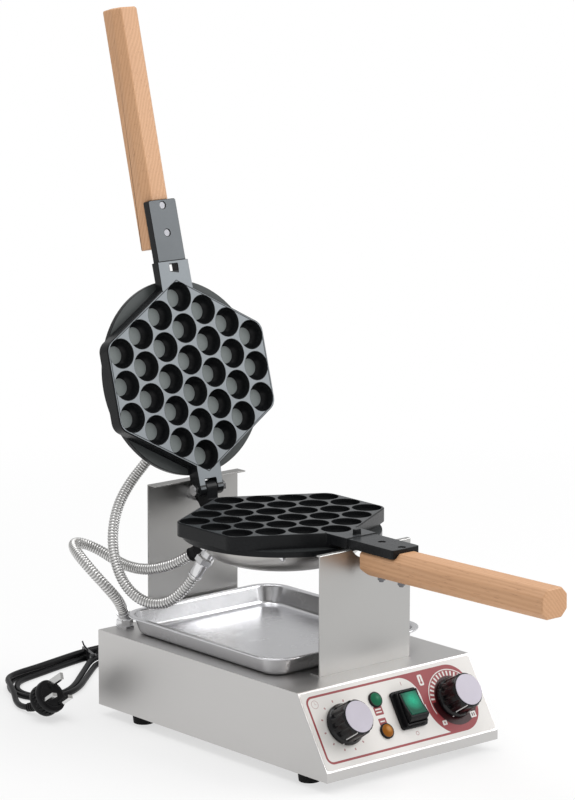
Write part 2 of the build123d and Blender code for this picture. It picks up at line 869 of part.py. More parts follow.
# Housing: top, sides, back and slanted front in one folded sheet, open below
with BuildPart() as housing:
    with BuildSketch(Plane.YZ):
        with BuildLine():
            Polyline(
                (rear_y, foot_height), (rear_y, base_top), (slope_top_y, base_top),
                (-rear_y, slope_foot_z), (-rear_y, foot_height), close=True,
            )
        make_face()
    extrude(amount=base_half, both=True)
    fillet(edges().filter_by(Axis.X).group_by(Axis.Z)[1:], bend_radius)
    offset(amount=-sheet, openings=faces().sort_by(Axis.Z)[0])
    with BuildSketch(panel.offset(cut_over)):
        panel_cutouts()
    extrude(amount=-(sheet + 2 * cut_over), mode=Mode.SUBTRACT)
    with BuildSketch(Plane.XY.offset(base_top)):
        with Locations(*stand_screw_places):
            Circle(stand_shank + hole_clearance)
        with Locations(conduit_lower_route[-1][:2]):
            Circle(conduit_radius + hole_clearance)
    extrude(amount=-sheet, mode=Mode.SUBTRACT)
    with BuildSketch(Plane(origin=(lead_exit_x, rear_y, lead_exit_z), z_dir=(0, -1, 0))):
        Circle(cable_gland_thread + hole_clearance)
    extrude(amount=sheet, mode=Mode.SUBTRACT)
    vent_height = (base_top + foot_height) / 2 + rear_vent_rise
    with BuildSketch(Plane(origin=(0, rear_y, vent_height), z_dir=(0, -1, 0))):
        with GridLocations(vent_pitch, 0, vent_count, 1):
            SlotOverall(rear_vent_length, vent_width, rotation=90)
    extrude(amount=sheet, mode=Mode.SUBTRACT)
    with BuildSketch(Plane.XY.offset(foot_height + sheet)):
        for side in (-1, 1):
            with Locations((side * (base_half - sheet - flange_width / 2), 0)):
                Rectangle(flange_width, base_depth - 2 * flange_end)
        with Locations(*plate_screw_places):
            Circle(small_shank, mode=Mode.SUBTRACT)
        with Locations(*foot_places):
            Circle(foot_radius, mode=Mode.SUBTRACT)
    extrude(amount=sheet)
hand_in(housing, "housing_shell")

# Bottom plate, vented, between the housing's walls and below its two return flanges
with BuildPart() as base_plate:
    with BuildSketch(Plane.XY.offset(foot_height)):
        Rectangle(base_width - 2 * (sheet + gap), base_depth - 2 * (sheet + gap))
        with GridLocations(vent_pitch, plate_vent_spacing, vent_count, plate_vent_rows):
            SlotOverall(plate_vent_length, vent_width, rotation=90, mode=Mode.SUBTRACT)
        with Locations(*foot_places, *plate_screw_places):
            Circle(small_shank, mode=Mode.SUBTRACT)
    extrude(amount=sheet)
hand_in(base_plate, "base_plate")

with BuildPart() as plate_screws:
    for x, y in plate_screw_places:
        turned(moved(Plane.XY, x, y, foot_height), [
            (0, -small_head_height), (small_head - small_head_taper, -small_head_height),
            (small_head, 0), (small_shank, 0), (small_shank, 2 * sheet + screw_tail),
            (0, 2 * sheet + screw_tail),
        ])
hand_in(plate_screws, "base_plate_screws")

with BuildPart() as feet:
    for x, y in foot_places:
        turned(moved(Plane.XY, x, y), [
            (small_head + gap, 0), (foot_radius - foot_taper, 0), (foot_radius, foot_height),
            (small_shank, foot_height), (small_shank, foot_height / 2), (small_head + gap, foot_height / 2),
        ])
hand_in(feet, "rubber_feet")

with BuildPart() as foot_screws:
    for x, y in foot_places:
        turned(moved(Plane.XY, x, y, foot_height), [
            (0, -foot_height / 2 - small_head_height), (small_head, -foot_height / 2 - small_head_height),
            (small_head, -foot_height / 2), (small_shank, -foot_height / 2),
            (small_shank, sheet + screw_tail), (0, sheet + screw_tail),
        ])
hand_in(foot_screws, "foot_screws")

with BuildPart() as label:
    with BuildSketch(panel):
        with Locations((0, slope_length / 2)):
            RectangleRounded(
                base_width - 2 * label_side_margin, slope_length - 2 * label_end_margin, label_corner
            )
    extrude(amount=label_thickness)
    with BuildSketch(panel):
        panel_cutouts()
    extrude(amount=label_thickness, mode=Mode.SUBTRACT)
hand_in(label, "control_panel")

# Controls
control(-knob_x, "timer", timer_case, timer_case_depth)
control(knob_x, "thermostat", thermostat_case, thermostat_case_depth)

with BuildPart() as control_nuts:
    with BuildSketch(label_face):
        with Locations((-knob_x, knob_up), (knob_x, knob_up)):
            RegularPolygon(control_nut_radius, 6)
            Circle(neck_radius, mode=Mode.SUBTRACT)
    extrude(amount=control_nut_height)
hand_in(control_nuts, "control_nuts")

with BuildPart() as lamp_housings:
    for up in (green_lamp_up, amber_lamp_up):
        turned(moved(label_face, lamp_x, up), [
            (0, lamp_lens_seat), (lamp_lens_radius, lamp_lens_seat), (lamp_lens_radius, lamp_bezel_height),
            (lamp_bezel_radius - lamp_bezel_chamfer, lamp_bezel_height),
            (lamp_bezel_radius, lamp_bezel_height - lamp_bezel_chamfer), (lamp_bezel_radius, 0),
            (lamp_stem_radius, 0), (lamp_stem_radius, -lamp_stem_length),
            (0, -lamp_stem_length),
        ])
hand_in(lamp_housings, "lamp_housings")

for up, name in ((green_lamp_up, "green_lamp_lens"), (amber_lamp_up, "amber_lamp_lens")):
    lens_seat = moved(label_face, lamp_x, up)
    with BuildPart() as lens:
        with BuildSketch(turning_plane(lens_seat)):
            with BuildLine():
                Polyline(
                    (0, lamp_bezel_height + lamp_dome), (0, lamp_lens_seat),
                    (lamp_lens_radius, lamp_lens_seat), (lamp_lens_radius, lamp_bezel_height),
                )
                TangentArc(
                    (0, lamp_bezel_height + lamp_dome), (lamp_lens_radius, lamp_bezel_height),
                    tangent=(1, 0),
                )
            make_face()
        revolve(axis=Axis(lens_seat.origin, lens_seat.z_dir))
    hand_in(lens, name)

# Rocker switch: housing, tipping button on two pins, and the lens in its face
rocker_seat = moved(label_face, rocker_x, rocker_up)
switch_axis_plane = side_plane(rocker_seat.offset(rocker_pivot_height))
with BuildPart() as switch:
    with BuildSketch(rocker_seat):
        RectangleRounded(
            switch_size[0] + 2 * bezel_side_lip, switch_size[1] + 2 * bezel_end_lip, bezel_corner
        )
    extrude(amount=bezel_height)
    with BuildSketch(rocker_seat.offset(skirt_height)):
        RectangleRounded(*switch_size, switch_wall)
    extrude(amount=-(skirt_height + switch_depth))
    with BuildSketch(rocker_seat.offset(skirt_height)):
        Rectangle(*rocker_opening)
    extrude(amount=-(skirt_height + switch_cavity), mode=Mode.SUBTRACT)
    with BuildSketch(switch_axis_plane):
        Circle(rocker_pin_radius + pin_clearance)
    extrude(amount=rocker_width / 2 + rocker_pin_length + pin_clearance, both=True, mode=Mode.SUBTRACT)
hand_in(switch, "rocker_housing")

tipped = math.radians(rocker_tilt)
rocker_along = rocker_seat.y_dir * math.cos(tipped) - rocker_seat.z_dir * math.sin(tipped)
rocker_plane = Plane(origin=switch_axis_plane.origin, x_dir=rocker_along, z_dir=rocker_seat.x_dir)
hollow = math.tan(math.radians(rocker_hollow))
lens_low = rocker_crest + lens_proud
with BuildPart() as rocker_lens:
    with BuildSketch(rocker_plane):
        with BuildLine():
            Polyline(
                (-lens_down, lens_low + lens_down * hollow), (0, lens_low),
                (lens_up, lens_low + lens_up * hollow),
                (lens_up, lens_low + lens_up * hollow - lens_thickness), (0, lens_low - lens_thickness),
                (-lens_down, lens_low + lens_down * hollow - lens_thickness), close=True,
            )
        make_face()
    extrude(amount=lens_width / 2, both=True)
hand_in(rocker_lens, "rocker_lens")

with BuildPart() as rocker:
    with BuildSketch(rocker_plane):
        Circle(rocker_radius)
        with BuildLine():
            reach = 2 * rocker_radius
            Polyline(
                (-reach, rocker_crest + reach * hollow), (0, rocker_crest),
                (reach, rocker_crest + reach * hollow), (reach, -rocker_sink), (-reach, -rocker_sink),
                close=True,
            )
        make_face(mode=Mode.INTERSECT)
    extrude(amount=rocker_width / 2, both=True)
    with BuildSketch(rocker_plane):
        Circle(rocker_pin_radius)
    extrude(amount=rocker_width / 2 + rocker_pin_length, both=True)
    add(rocker_lens.part, mode=Mode.SUBTRACT)
hand_in(rocker, "rocker_button")

with BuildPart() as terminals:
    with BuildSketch(Plane.XY.offset(foot_height + sheet)):
        with Locations(terminal_place):
            Rectangle(terminal_size[0], terminal_size[1])
    extrude(amount=terminal_size[2])
    with BuildSketch(Plane.XY.offset(foot_height + sheet + terminal_size[2])):
        with Locations(terminal_place):
            with GridLocations(terminal_size[0] / terminal_ways, terminal_size[1] / 2, terminal_ways, 2):
                Circle(terminal_hole)
    extrude(amount=-terminal_hole_depth, mode=Mode.SUBTRACT)
hand_in(terminals, "terminal_block")

# Stands, their fasteners and the bush that the head turns in
stand(front_stand_y, front_stand_top, front_lip, 1, turning_radius + cradle_clearance, False, "front_stand")
stand(rear_stand_y, rear_stand_top, rear_lip, -1, bush_radius, True, "rear_stand")

with BuildPart() as stand_screws:
    shank_foot = -stand_sheet - sheet - stand_nut_height - screw_tail
    for x, y in stand_screw_places:
        turned(moved(Plane.XY, x, y, base_top + stand_sheet), [
            (0, stand_head_height), (0.6 * stand_head, stand_head_height),
            (stand_head, 0.3 * stand_head_height), (stand_head, 0), (stand_shank, 0),
            (stand_shank, shank_foot), (0, shank_foot),
        ])
hand_in(stand_screws, "stand_screws")

with BuildPart() as stand_nuts:
    with BuildSketch(Plane.XY.offset(base_top - sheet)):
        with Locations(*stand_screw_places):
            RegularPolygon(stand_nut, 6)
            Circle(stand_shank, mode=Mode.SUBTRACT)
    extrude(amount=-stand_nut_height)
hand_in(stand_nuts, "stand_nuts")

with BuildPart() as bush:
    collar = bush_rear - bush_front - bush_collar_thickness
    turned(Plane(origin=(0, bush_front, parting_height), z_dir=(0, 1, 0)), [
        (pivot_radius + pivot_play, 0), (bush_radius, 0), (bush_radius, collar),
        (bush_collar_radius, collar), (bush_collar_radius, bush_rear - bush_front),
        (pivot_radius + pivot_play, bush_rear - bush_front),
    ])
hand_in(bush, "pivot_bush")

# Drip tray: pressed dish with sloping walls and a flat rim turned down at its edge
tray_floor = base_top + gap
tray_top = tray_floor + tray_depth


def tray_outline(level, inset):
    """A rounded rectangle of the tray at a level, drawn in from the rim's edge."""
    with BuildSketch(Plane.XY.offset(level)) as outline:
        with Locations(((tray_left + tray_right) / 2, (tray_front + tray_rear) / 2)):
            RectangleRounded(
                tray_right - tray_left - 2 * inset, tray_rear - tray_front - 2 * inset, tray_corner - inset
            )
    return outline.sketch


wall_inset = tray_rim + tray_slope
with BuildPart() as tray:
    extrude(tray_outline(tray_top, 0), amount=-tray_roll)
    roll_inside = tray_outline(tray_top - tray_roll, tray_sheet)
    extrude(roll_inside, amount=tray_roll - tray_sheet, mode=Mode.SUBTRACT)
    loft([tray_outline(tray_floor, wall_inset), tray_outline(tray_top, tray_rim)])
    inner_floor = tray_outline(tray_floor + tray_sheet, wall_inset + tray_sheet)
    loft([inner_floor, tray_outline(tray_top, tray_rim + tray_sheet)], mode=Mode.SUBTRACT)
hand_in(tray, "drip_tray")

# Moulds, with everything that rides on each of them
for seat, side, seats in (
    (lower_seat, "lower", lower_fitting_seats),
    (upper_seat, "upper", [upper_fitting_seat]),
):
    hand_in(mould(seat, side == "upper"), f"{side}_mould")
    hand_in(heating_element(seat), f"{side}_heating_element")
    hand_in(insulation(seat), f"{side}_insulation")
    hand_in(heater_cover(seat, seats), f"{side}_heater_cover")
    hand_in(cover_nuts(seat), f"{side}_cover_nuts")
    hand_in(handle(seat), f"{side}_handle")
    hand_in(handle_bolts(seat), f"{side}_handle_bolts")
    hand_in(fittings(seats), f"{side}_conduit_fittings")

with BuildPart() as bulb:
    bulb_centre = moved(lower_seat, 0, 0, cast_height + bulb_radius).origin
    with BuildSketch(Plane(origin=bulb_centre, z_dir=(1, 0, 0))):
        Circle(bulb_radius)
    extrude(amount=bulb_length / 2, both=True)
hand_in(bulb, "thermostat_bulb")

with BuildPart() as pin:
    with BuildSketch(Plane(origin=(0, hinge_y, hinge_z), z_dir=(1, 0, 0))):
        Circle(pin_radius)
    extrude(amount=arm_outer + hinge_nut_gap + hinge_nut_height + pin_tail, both=True)
hand_in(pin, "hinge_pin")

with BuildPart() as hinge_nuts:
    for side in (-1, 1):
        nut_x = side * (arm_outer + hinge_nut_gap)
        with BuildSketch(Plane(origin=(nut_x, hinge_y, hinge_z), z_dir=(side, 0, 0))):
            RegularPolygon(hinge_nut_radius, 6)
            Circle(pin_radius, mode=Mode.SUBTRACT)
        extrude(amount=hinge_nut_height)
hand_in(hinge_nuts, "hinge_nuts")

shaft_seat = Plane(origin=(0, boss_end, parting_height), z_dir=(0, 1, 0))
shoulder = bush_rear + pivot_end_gap - boss_end
with BuildPart() as pivot_shaft:
    turned(shaft_seat, [
        (0, -spigot_length), (spigot_radius, -spigot_length), (spigot_radius, 0), (pivot_radius, 0),
        (pivot_radius, shoulder), (thread_radius, shoulder), (thread_radius, shoulder + thread_length),
        (0, shoulder + thread_length),
    ])
hand_in(pivot_shaft, "pivot_shaft")

with BuildPart() as pivot_nut:
    with BuildSketch(shaft_seat.offset(shoulder)):
        Circle(pivot_washer_radius)
        Circle(thread_radius, mode=Mode.SUBTRACT)
    extrude(amount=pivot_washer_thickness)
    with BuildSketch(shaft_seat.offset(shoulder + pivot_washer_thickness)):
        RegularPolygon(pivot_nut_radius, 6)
        Circle(thread_radius, mode=Mode.SUBTRACT)
    extrude(amount=pivot_nut_height)
hand_in(pivot_nut, "pivot_nut")

# Conduits
tube(conduit_upper_route, conduit_radius, "conduit_upper")
tube(conduit_lower_route, conduit_radius, "conduit_lower")

gland_x, gland_y, gland_top = conduit_lower_route[-1]
with BuildPart() as conduit_gland:
    with BuildSketch(Plane.XY.offset(base_top)):
        with Locations((gland_x, gland_y)):
            RegularPolygon(gland_nut_radius, 6)
    extrude(amount=gland_top - base_top)
    with BuildSketch(Plane.XY.offset(base_top)):
        with Locations((gland_x, gland_y)):
            Circle(conduit_radius)
    extrude(amount=-(sheet + gland_thread))
hand_in(conduit_gland, "base_conduit_gland")

# Mains lead: gland, free stretch, tied hank, tail and plug
gland_seat = Plane(origin=(lead_exit_x, rear_y, lead_exit_z), z_dir=(0, 1, 0))
with BuildPart() as cable_gland:
    with BuildSketch(gland_seat):
        RegularPolygon(cable_gland_radius, 6)
    extrude(amount=cable_gland_hex)
    turned(gland_seat, [
        (0, -cable_gland_grip), (cable_gland_thread, -cable_gland_grip), (cable_gland_thread, 0),
        (cable_gland_thread, cable_gland_hex), (cable_gland_tip, cable_gland_hex + cable_gland_tail),
        (0, cable_gland_hex + cable_gland_tail),
    ])
hand_in(cable_gland, "cable_gland")

with BuildPart() as cable_gland_nut:
    with BuildSketch(gland_seat.offset(-sheet)):
        RegularPolygon(cable_nut_radius, 6)
        Circle(cable_gland_thread, mode=Mode.SUBTRACT)
    extrude(amount=-cable_nut_height)
hand_in(cable_gland_nut, "cable_gland_nut")

tube(lead_route, lead_radius, "power_cord")
tube(tail_route, lead_radius, "plug_tail")

# The bundle is wide at both ends and pinched at its waist, where the wire tie goes round it
hank_ends = ((hank_left, hank_left_radius), (hank_right, hank_right_radius))
with BuildPart() as hank:
    for end, end_radius in hank_ends:
        with BuildSketch():
            with Locations(behind(*end)):
                Circle(end_radius)
            with Locations(behind(*hank_waist)):
                Circle(hank_waist_radius)
            make_hull()
        extrude(amount=hank_height)
    for end, end_radius in hank_ends:
        with BuildSketch():
            with Locations(behind(*end)):
                Circle(end_radius - hank_strand)
            with Locations(behind(*hank_waist)):
                Circle(hank_waist_radius - hank_strand)
            make_hull()
        extrude(amount=hank_height, mode=Mode.SUBTRACT)
hand_in(hank, "cord_hank")

with BuildPart() as tie:
    with BuildSketch():
        with Locations(Location(behind(*hank_waist), (0, 0, tie_turn))):
            Rectangle(2 * (hank_waist_radius + tie_thickness), tie_width)
    extrude(amount=hank_height + tie_thickness)
    add(hank.part, mode=Mode.SUBTRACT)
hand_in(tie, "cord_tie")

# The plug lies tipped back on its rim with its three flat blades pointing up and forward
plug_level = Plane(
    origin=plug_front,
    x_dir=(-math.sin(plug_turned), math.cos(plug_turned), 0),
    z_dir=plug_along,
)
plug_seat = Plane(plug_level.location * Rotation(0, 0, plug_roll))
with BuildPart() as plug:
    with BuildSketch(plug_seat):
        Circle(plug_radius)
    extrude(amount=-plug_length)
    fillet(edges(), plug_round)
hand_in(plug, "plug_body")

with BuildPart() as pins:
    with BuildSketch(plug_seat):
        with Locations((-blade_pitch / 2, -blade_drop), (blade_pitch / 2, -blade_drop)):
            Rectangle(blade_width, blade_thickness)
    extrude(amount=blade_length)
    with BuildSketch(plug_seat):
        with Locations((0, earth_blade_rise)):
            Rectangle(earth_blade_width, earth_blade_height)
    extrude(amount=earth_blade_length)
hand_in(pins, "plug_pins")
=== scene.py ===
"""Looks of the bubble waffle maker: camera and finishes, then the cords, then the other pieces.

Lengths in the tables and calls below are millimetres in the part's frame; meshes are made in metres.
"""

import math

import bmesh
import bpy
from mathutils import Matrix, Vector


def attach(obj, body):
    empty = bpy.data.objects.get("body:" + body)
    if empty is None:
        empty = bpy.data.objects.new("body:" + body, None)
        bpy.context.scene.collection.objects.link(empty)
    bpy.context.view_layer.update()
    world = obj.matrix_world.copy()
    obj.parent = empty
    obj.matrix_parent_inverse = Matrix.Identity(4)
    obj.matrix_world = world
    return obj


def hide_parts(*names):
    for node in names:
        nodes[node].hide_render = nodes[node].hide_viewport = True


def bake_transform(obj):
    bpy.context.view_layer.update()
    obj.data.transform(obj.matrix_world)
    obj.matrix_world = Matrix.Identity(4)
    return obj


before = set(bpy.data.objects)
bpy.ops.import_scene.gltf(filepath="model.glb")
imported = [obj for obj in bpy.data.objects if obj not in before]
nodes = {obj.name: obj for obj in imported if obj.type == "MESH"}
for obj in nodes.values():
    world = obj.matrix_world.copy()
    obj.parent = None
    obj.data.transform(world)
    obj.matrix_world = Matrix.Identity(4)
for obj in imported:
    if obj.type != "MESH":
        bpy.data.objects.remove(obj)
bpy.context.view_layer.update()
MM = 0.001

# Places shared with the solids
KNOB_X = 80.0
KNOB_UP = 46.5
LABEL_OUT = 0.4
LID_LEAN = math.radians(105.35)
PANEL_FOOT = Vector((0, -196.0, 22.3))
PANEL_UP = Vector((0, 48.4, 77.7)).normalized()
PANEL_OUT = Vector((0, -77.7, 48.4)).normalized()


def mm(*values):
    """A point in metres from millimetres."""
    return Vector(values) * MM


def seat(origin, z_dir, x_dir=(1, 0, 0)):
    """The matrix of a place, from its origin, Z and X directions; it takes points in millimetres."""
    z_axis = Vector(z_dir).normalized()
    y_axis = z_axis.cross(Vector(x_dir)).normalized()
    x_axis = y_axis.cross(z_axis)
    turn = Matrix((x_axis, y_axis, z_axis)).transposed().to_4x4()
    return Matrix.Translation(Vector(origin) * MM) @ turn @ Matrix.Scale(MM, 4)


def panel_seat(across, up):
    """A place on the slanted panel's label, with X across, Y up the slope and Z out of it."""
    return seat(PANEL_FOOT + Vector((across, 0, 0)) + PANEL_UP * up + PANEL_OUT * LABEL_OUT, PANEL_OUT)


# Camera at the photograph's angle: its place, its azimuth, elevation and roll in degrees, and its lens
CAMERA_SPOT = (-2403.04, -2765.98, 1104.05)
CAMERA_TURNS = (-40.8426, 11.2087, 0.1343)
CAMERA_LENS = 153.224


def aim_camera():
    azimuth, elevation, roll = (math.radians(angle) for angle in CAMERA_TURNS)
    level_reach = math.cos(elevation)
    back = Vector((math.sin(azimuth) * level_reach, -math.cos(azimuth) * level_reach, math.sin(elevation)))
    level = Vector((math.cos(azimuth), math.sin(azimuth), 0))
    upright = back.cross(level)
    right = level * math.cos(roll) + upright * math.sin(roll)
    up = upright * math.cos(roll) - level * math.sin(roll)
    data = bpy.data.cameras.new("camera")
    data.sensor_width = 36
    data.lens = CAMERA_LENS
    data.clip_end = 60
    camera = bpy.data.objects.new("camera", data)
    facing = Matrix((right, up, back)).transposed().to_4x4()
    camera.matrix_world = Matrix.Translation(mm(*CAMERA_SPOT)) @ facing
    bpy.context.scene.collection.objects.link(camera)
    bpy.context.scene.camera = camera


aim_camera()


# Shader wiring
class Wire:
    """A socket in a material's tree; arithmetic on it adds Math nodes."""

    def __init__(self, finish, socket):
        self.finish = finish
        self.socket = socket

    def math(self, operation, *others, clamp=False):
        settings = {"operation": operation, "use_clamp": clamp}
        return self.finish.node("ShaderNodeMath", settings, dict(enumerate((self, *others))))

    def __add__(self, other):
        return self.math("ADD", other)

    def __mul__(self, other):
        return self.math("MULTIPLY", other)

    def __sub__(self, other):
        return self.math("SUBTRACT", other)

    def __rsub__(self, other):
        return (self * -1).math("ADD", other)

    def __truediv__(self, other):
        return self.math("DIVIDE", other)

    def __abs__(self):
        return self.math("ABSOLUTE")

    def least(self, other):
        return self.math("MINIMUM", other)

    def most(self, other):
        return self.math("MAXIMUM", other)

    def below(self, edge, soft):
        """1 well below an edge, 0 well above it, with a ramp as wide as soft."""
        return ((edge - self) / soft).math("ADD", 0.5, clamp=True)


class Finish:
    """One procedural material: its node tree and the few nodes that every finish here uses."""

    def __init__(self, name):
        self.material = bpy.data.materials.new(name)
        self.material.use_nodes = True
        self.tree = self.material.node_tree
        self.tree.nodes.clear()

    def node(self, kind, settings=None, sockets=None, out=0):
        made = self.tree.nodes.new(kind)
        for key, value in (settings or {}).items():
            setattr(made, key, value)
        for key, value in (sockets or {}).items():
            if isinstance(value, Wire):
                self.tree.links.new(value.socket, made.inputs[key])
            else:
                made.inputs[key].default_value = value
        return Wire(self, made.outputs[out])

    def place(self, scale=(1, 1, 1), turn=(0, 0, 0)):
        """Object coordinates, turned and then stretched."""
        where = self.node("ShaderNodeTexCoord", out="Object")
        as_point = {"vector_type": "POINT"}
        if turn != (0, 0, 0):
            where = self.node("ShaderNodeMapping", as_point, {"Vector": where, "Rotation": turn})
        return self.node("ShaderNodeMapping", as_point, {"Vector": where, "Scale": scale})

    def noise(self, where, scale, detail, roughness):
        sockets = {"Vector": where, "Scale": scale, "Detail": detail, "Roughness": roughness}
        return self.node("ShaderNodeTexNoise", None, sockets)

    def axes(self, where):
        return [self.node("ShaderNodeSeparateXYZ", None, {0: where}, out=index) for index in range(3)]

    def mixed(self, share, first, second):
        settings = {"data_type": "RGBA", "clamp_factor": True}
        return self.node("ShaderNodeMix", settings, {0: share, 6: first, 7: second}, out=2)

    def bump(self, height, distance, strength):
        sockets = {"Strength": strength, "Distance": distance, "Height": height}
        return self.node("ShaderNodeBump", None, sockets)

    def close(self, **sockets):
        """The shader and the output; socket names are given with underscores for spaces."""
        named = {key.replace("_", " "): value for key, value in sockets.items()}
        shader = self.node("ShaderNodeBsdfPrincipled", None, named)
        self.node_output(shader)
        return self.material

    def node_output(self, shader):
        output = self.tree.nodes.new("ShaderNodeOutputMaterial")
        self.tree.links.new(shader.socket, output.inputs["Surface"])


def rgb(red, green, blue):
    return (red, green, blue, 1.0)


def brushed(name, colour, roughness, streak, smudge):
    """Brushed sheet steel: fine streaks across the front and top, along the depth on the sides."""
    f = Finish(name)
    across = f.noise(f.place((12, 1500, 1500)), 1.0, 3.0, 0.6)
    deep = f.noise(f.place((1500, 12, 1500)), 1.0, 3.0, 0.6)
    normal = f.node("ShaderNodeTexCoord", out="Normal")
    sideways = abs(f.axes(normal)[0]).below(0.7, 0.1)
    streaks = across * sideways + deep * (1 - sideways)
    clouds = f.noise(f.place((1, 1, 1)), 14.0, 3.0, 0.55)
    shade = (streaks - 0.5) * streak + (clouds - 0.5) * smudge * 0.6 + 0.5
    dark = rgb(*(value * 0.82 for value in colour))
    light = rgb(*(min(1.0, value * 1.14) for value in colour))
    return f.close(
        Base_Color=f.mixed(shade, dark, light),
        Metallic=1.0,
        Roughness=(streaks - 0.5) * 0.16 + (clouds - 0.5) * smudge + roughness,
        Normal=f.bump(streaks, 0.00003, 0.4),
    )


def polished(name, colour, roughness, grain=60.0):
    """Pressed, spun or turned metal with a soft mottle in its gloss."""
    f = Finish(name)
    clouds = f.noise(f.place(), grain, 4.0, 0.6)
    fine = f.noise(f.place(), 1800.0, 2.0, 0.6)
    return f.close(
        Base_Color=f.mixed(clouds, rgb(*(value * 0.88 for value in colour)), rgb(*colour)),
        Metallic=1.0,
        Roughness=(clouds - 0.5) * 0.12 + (fine - 0.5) * 0.06 + roughness,
        Normal=f.bump(fine, 0.00003, 0.4),
    )


def marked(f, attribute):
    """A piece's own painted share, from 0 to 1."""
    return f.node("ShaderNodeAttribute", {"attribute_name": attribute}, out="Fac")


# Hexagon of the moulds, as the distances of its sides from its middle, and the lid's hinge line
HEX_FLAT = 113.57
HEX_SLANT = 97.8
HEX_Y = 23.36
HEX_ROUND = 14.0
BORDER_INSET = 2.6
BORDER_HALF = 0.5
HINGE = (151.9, 253.4)


def hex_border(f, lid):
    """The fine step line inside the hexagon's outline on the parting face, which the finish bumps and paints
    near black as the step's shade.
    """
    x, y, z = f.axes(f.place((1000, 1000, 1000)))
    if lid:
        back = y - HINGE[0]
        high = z - HINGE[1]
        y = back * math.cos(LID_LEAN) - high * math.sin(LID_LEAN) + HINGE[0]
    side = abs(x)
    slant = side * 0.5 + abs(y - HEX_Y) * (math.sqrt(3) / 2) - HEX_SLANT
    inside = slant.math("SMOOTH_MAX", side - HEX_FLAT, HEX_ROUND)
    return (abs(inside + BORDER_INSET) - BORDER_HALF).below(0.0, 0.5)


def coated(name, lid):
    """Cast aluminium under a black non-stick coat, with painted light: the parting face painted greyer as a
    painted reflection, floors painted lighter grey-green, partly wear and partly painted light, and a
    near-black line painted as the shade of the step inside the hexagon.
    """
    f = Finish(name)
    grain = f.noise(f.place(), 1500.0, 3.0, 0.65)
    speckle = f.noise(f.place(), 4200.0, 1.0, 0.5)
    clouds = f.noise(f.place(), 26.0, 3.0, 0.55)
    flecks = speckle.below(0.40, 0.05)
    border = hex_border(f, lid)
    face = marked(f, "parting_face")
    floor = marked(f, "cavity_floor")
    colour = f.mixed(clouds, rgb(0.0055, 0.006, 0.0068), rgb(0.0085, 0.009, 0.010))
    # Painted reflection: the parting face is painted grey, by the share that mark_flats lays, for the lamps'
    # light on the black coat.
    colour = f.mixed(face, colour, f.mixed(clouds, rgb(0.275, 0.301, 0.322), rgb(0.335, 0.362, 0.383)))
    # Floors painted lighter grey-green: partly wear and partly painted light, by the share that mark_flats
    # lays.
    colour = f.mixed(floor, colour, f.mixed(speckle, rgb(0.230, 0.256, 0.254), rgb(0.350, 0.384, 0.378)))
    colour = f.mixed(flecks * 0.22, colour, rgb(0.060, 0.064, 0.068))
    # Painted shade: the step line inside the hexagon is painted near black, as the step's shadow, as well as
    # bumped.
    shaded_groove = border * face
    colour = f.mixed(shaded_groove * 0.9, colour, rgb(0.006, 0.006, 0.007))
    return f.close(
        Base_Color=colour,
        Roughness=(grain - 0.5) * 0.14 + (clouds - 0.5) * 0.08 + floor * 0.26 + face * 0.18 + 0.27,
        Normal=f.bump(grain - shaded_groove * 4.0, 0.00010, 0.5),
        Specular_IOR_Level=0.16,
    )


def corrugated(name):
    """Flexible steel conduit: bright crests, with the grooves painted grey as painted shade."""
    f = Finish(name)
    shaded_groove = marked(f, "shaded_groove")
    fine = f.noise(f.place(), 900.0, 2.0, 0.6)
    # Painted shade: the grooves' share darkens the steel where shade falls between the ridges.
    colour = f.mixed(shaded_groove, rgb(0.84, 0.835, 0.825), rgb(0.30, 0.297, 0.290))
    return f.close(
        Base_Color=f.mixed(fine * 0.3, colour, rgb(0.45, 0.445, 0.44)),
        Metallic=1.0,
        Roughness=fine * 0.12 + shaded_groove * 0.2 + 0.16,
        Normal=f.bump(fine, 0.00003, 0.4),
    )


def beech(name, lean):
    """Sanded beech: growth rings that show as long lines on the sides and slanted lines on the end."""
    f = Finish(name)
    turn = (lean, 0, 0)
    drift = f.noise(f.place((30, 3, 30), turn), 1.0, 3.0, 0.5)
    x, _, z = f.axes(f.place((1, 1, 1), turn))
    ring = (x * 210.0 + z * 190.0 + drift * 2.2) * (2 * math.pi)
    rings = ring.math("SINE") * 0.5 + 0.5
    flecks = f.noise(f.place((900, 70, 900), turn), 1.0, 2.0, 0.6).below(0.36, 0.07)
    pores = f.noise(f.place((1700, 110, 1700), turn), 1.0, 3.0, 0.7)
    clouds = f.noise(f.place((22, 5, 22), turn), 1.0, 3.0, 0.5)
    colour = f.mixed(clouds, rgb(0.57, 0.300, 0.150), rgb(0.70, 0.410, 0.225))
    colour = f.mixed(rings * 0.42, colour, rgb(0.47, 0.225, 0.102))
    colour = f.mixed(flecks * 0.50, colour, rgb(0.34, 0.155, 0.068))
    colour = f.mixed(pores * 0.16, colour, rgb(0.78, 0.52, 0.33))
    return f.close(
        Base_Color=colour,
        Roughness=(pores - 0.5) * 0.18 + rings * 0.05 + 0.46,
        Normal=f.bump(pores + rings * 0.3, 0.00008, 0.5),
    )


def plastic(name, colour, roughness, grain=900.0, depth=0.00003, **extra):
    """Moulded plastic or rubber with its fine texture."""
    f = Finish(name)
    fine = f.noise(f.place(), grain, 2.0, 0.6)
    clouds = f.noise(f.place(), 30.0, 3.0, 0.5)
    return f.close(
        Base_Color=f.mixed(clouds, rgb(*(value * 0.80 for value in colour)), rgb(*colour)),
        Roughness=(fine - 0.5) * 0.14 + (clouds - 0.5) * 0.10 + roughness,
        Normal=f.bump(fine, depth, 0.6),
        **extra,
    )


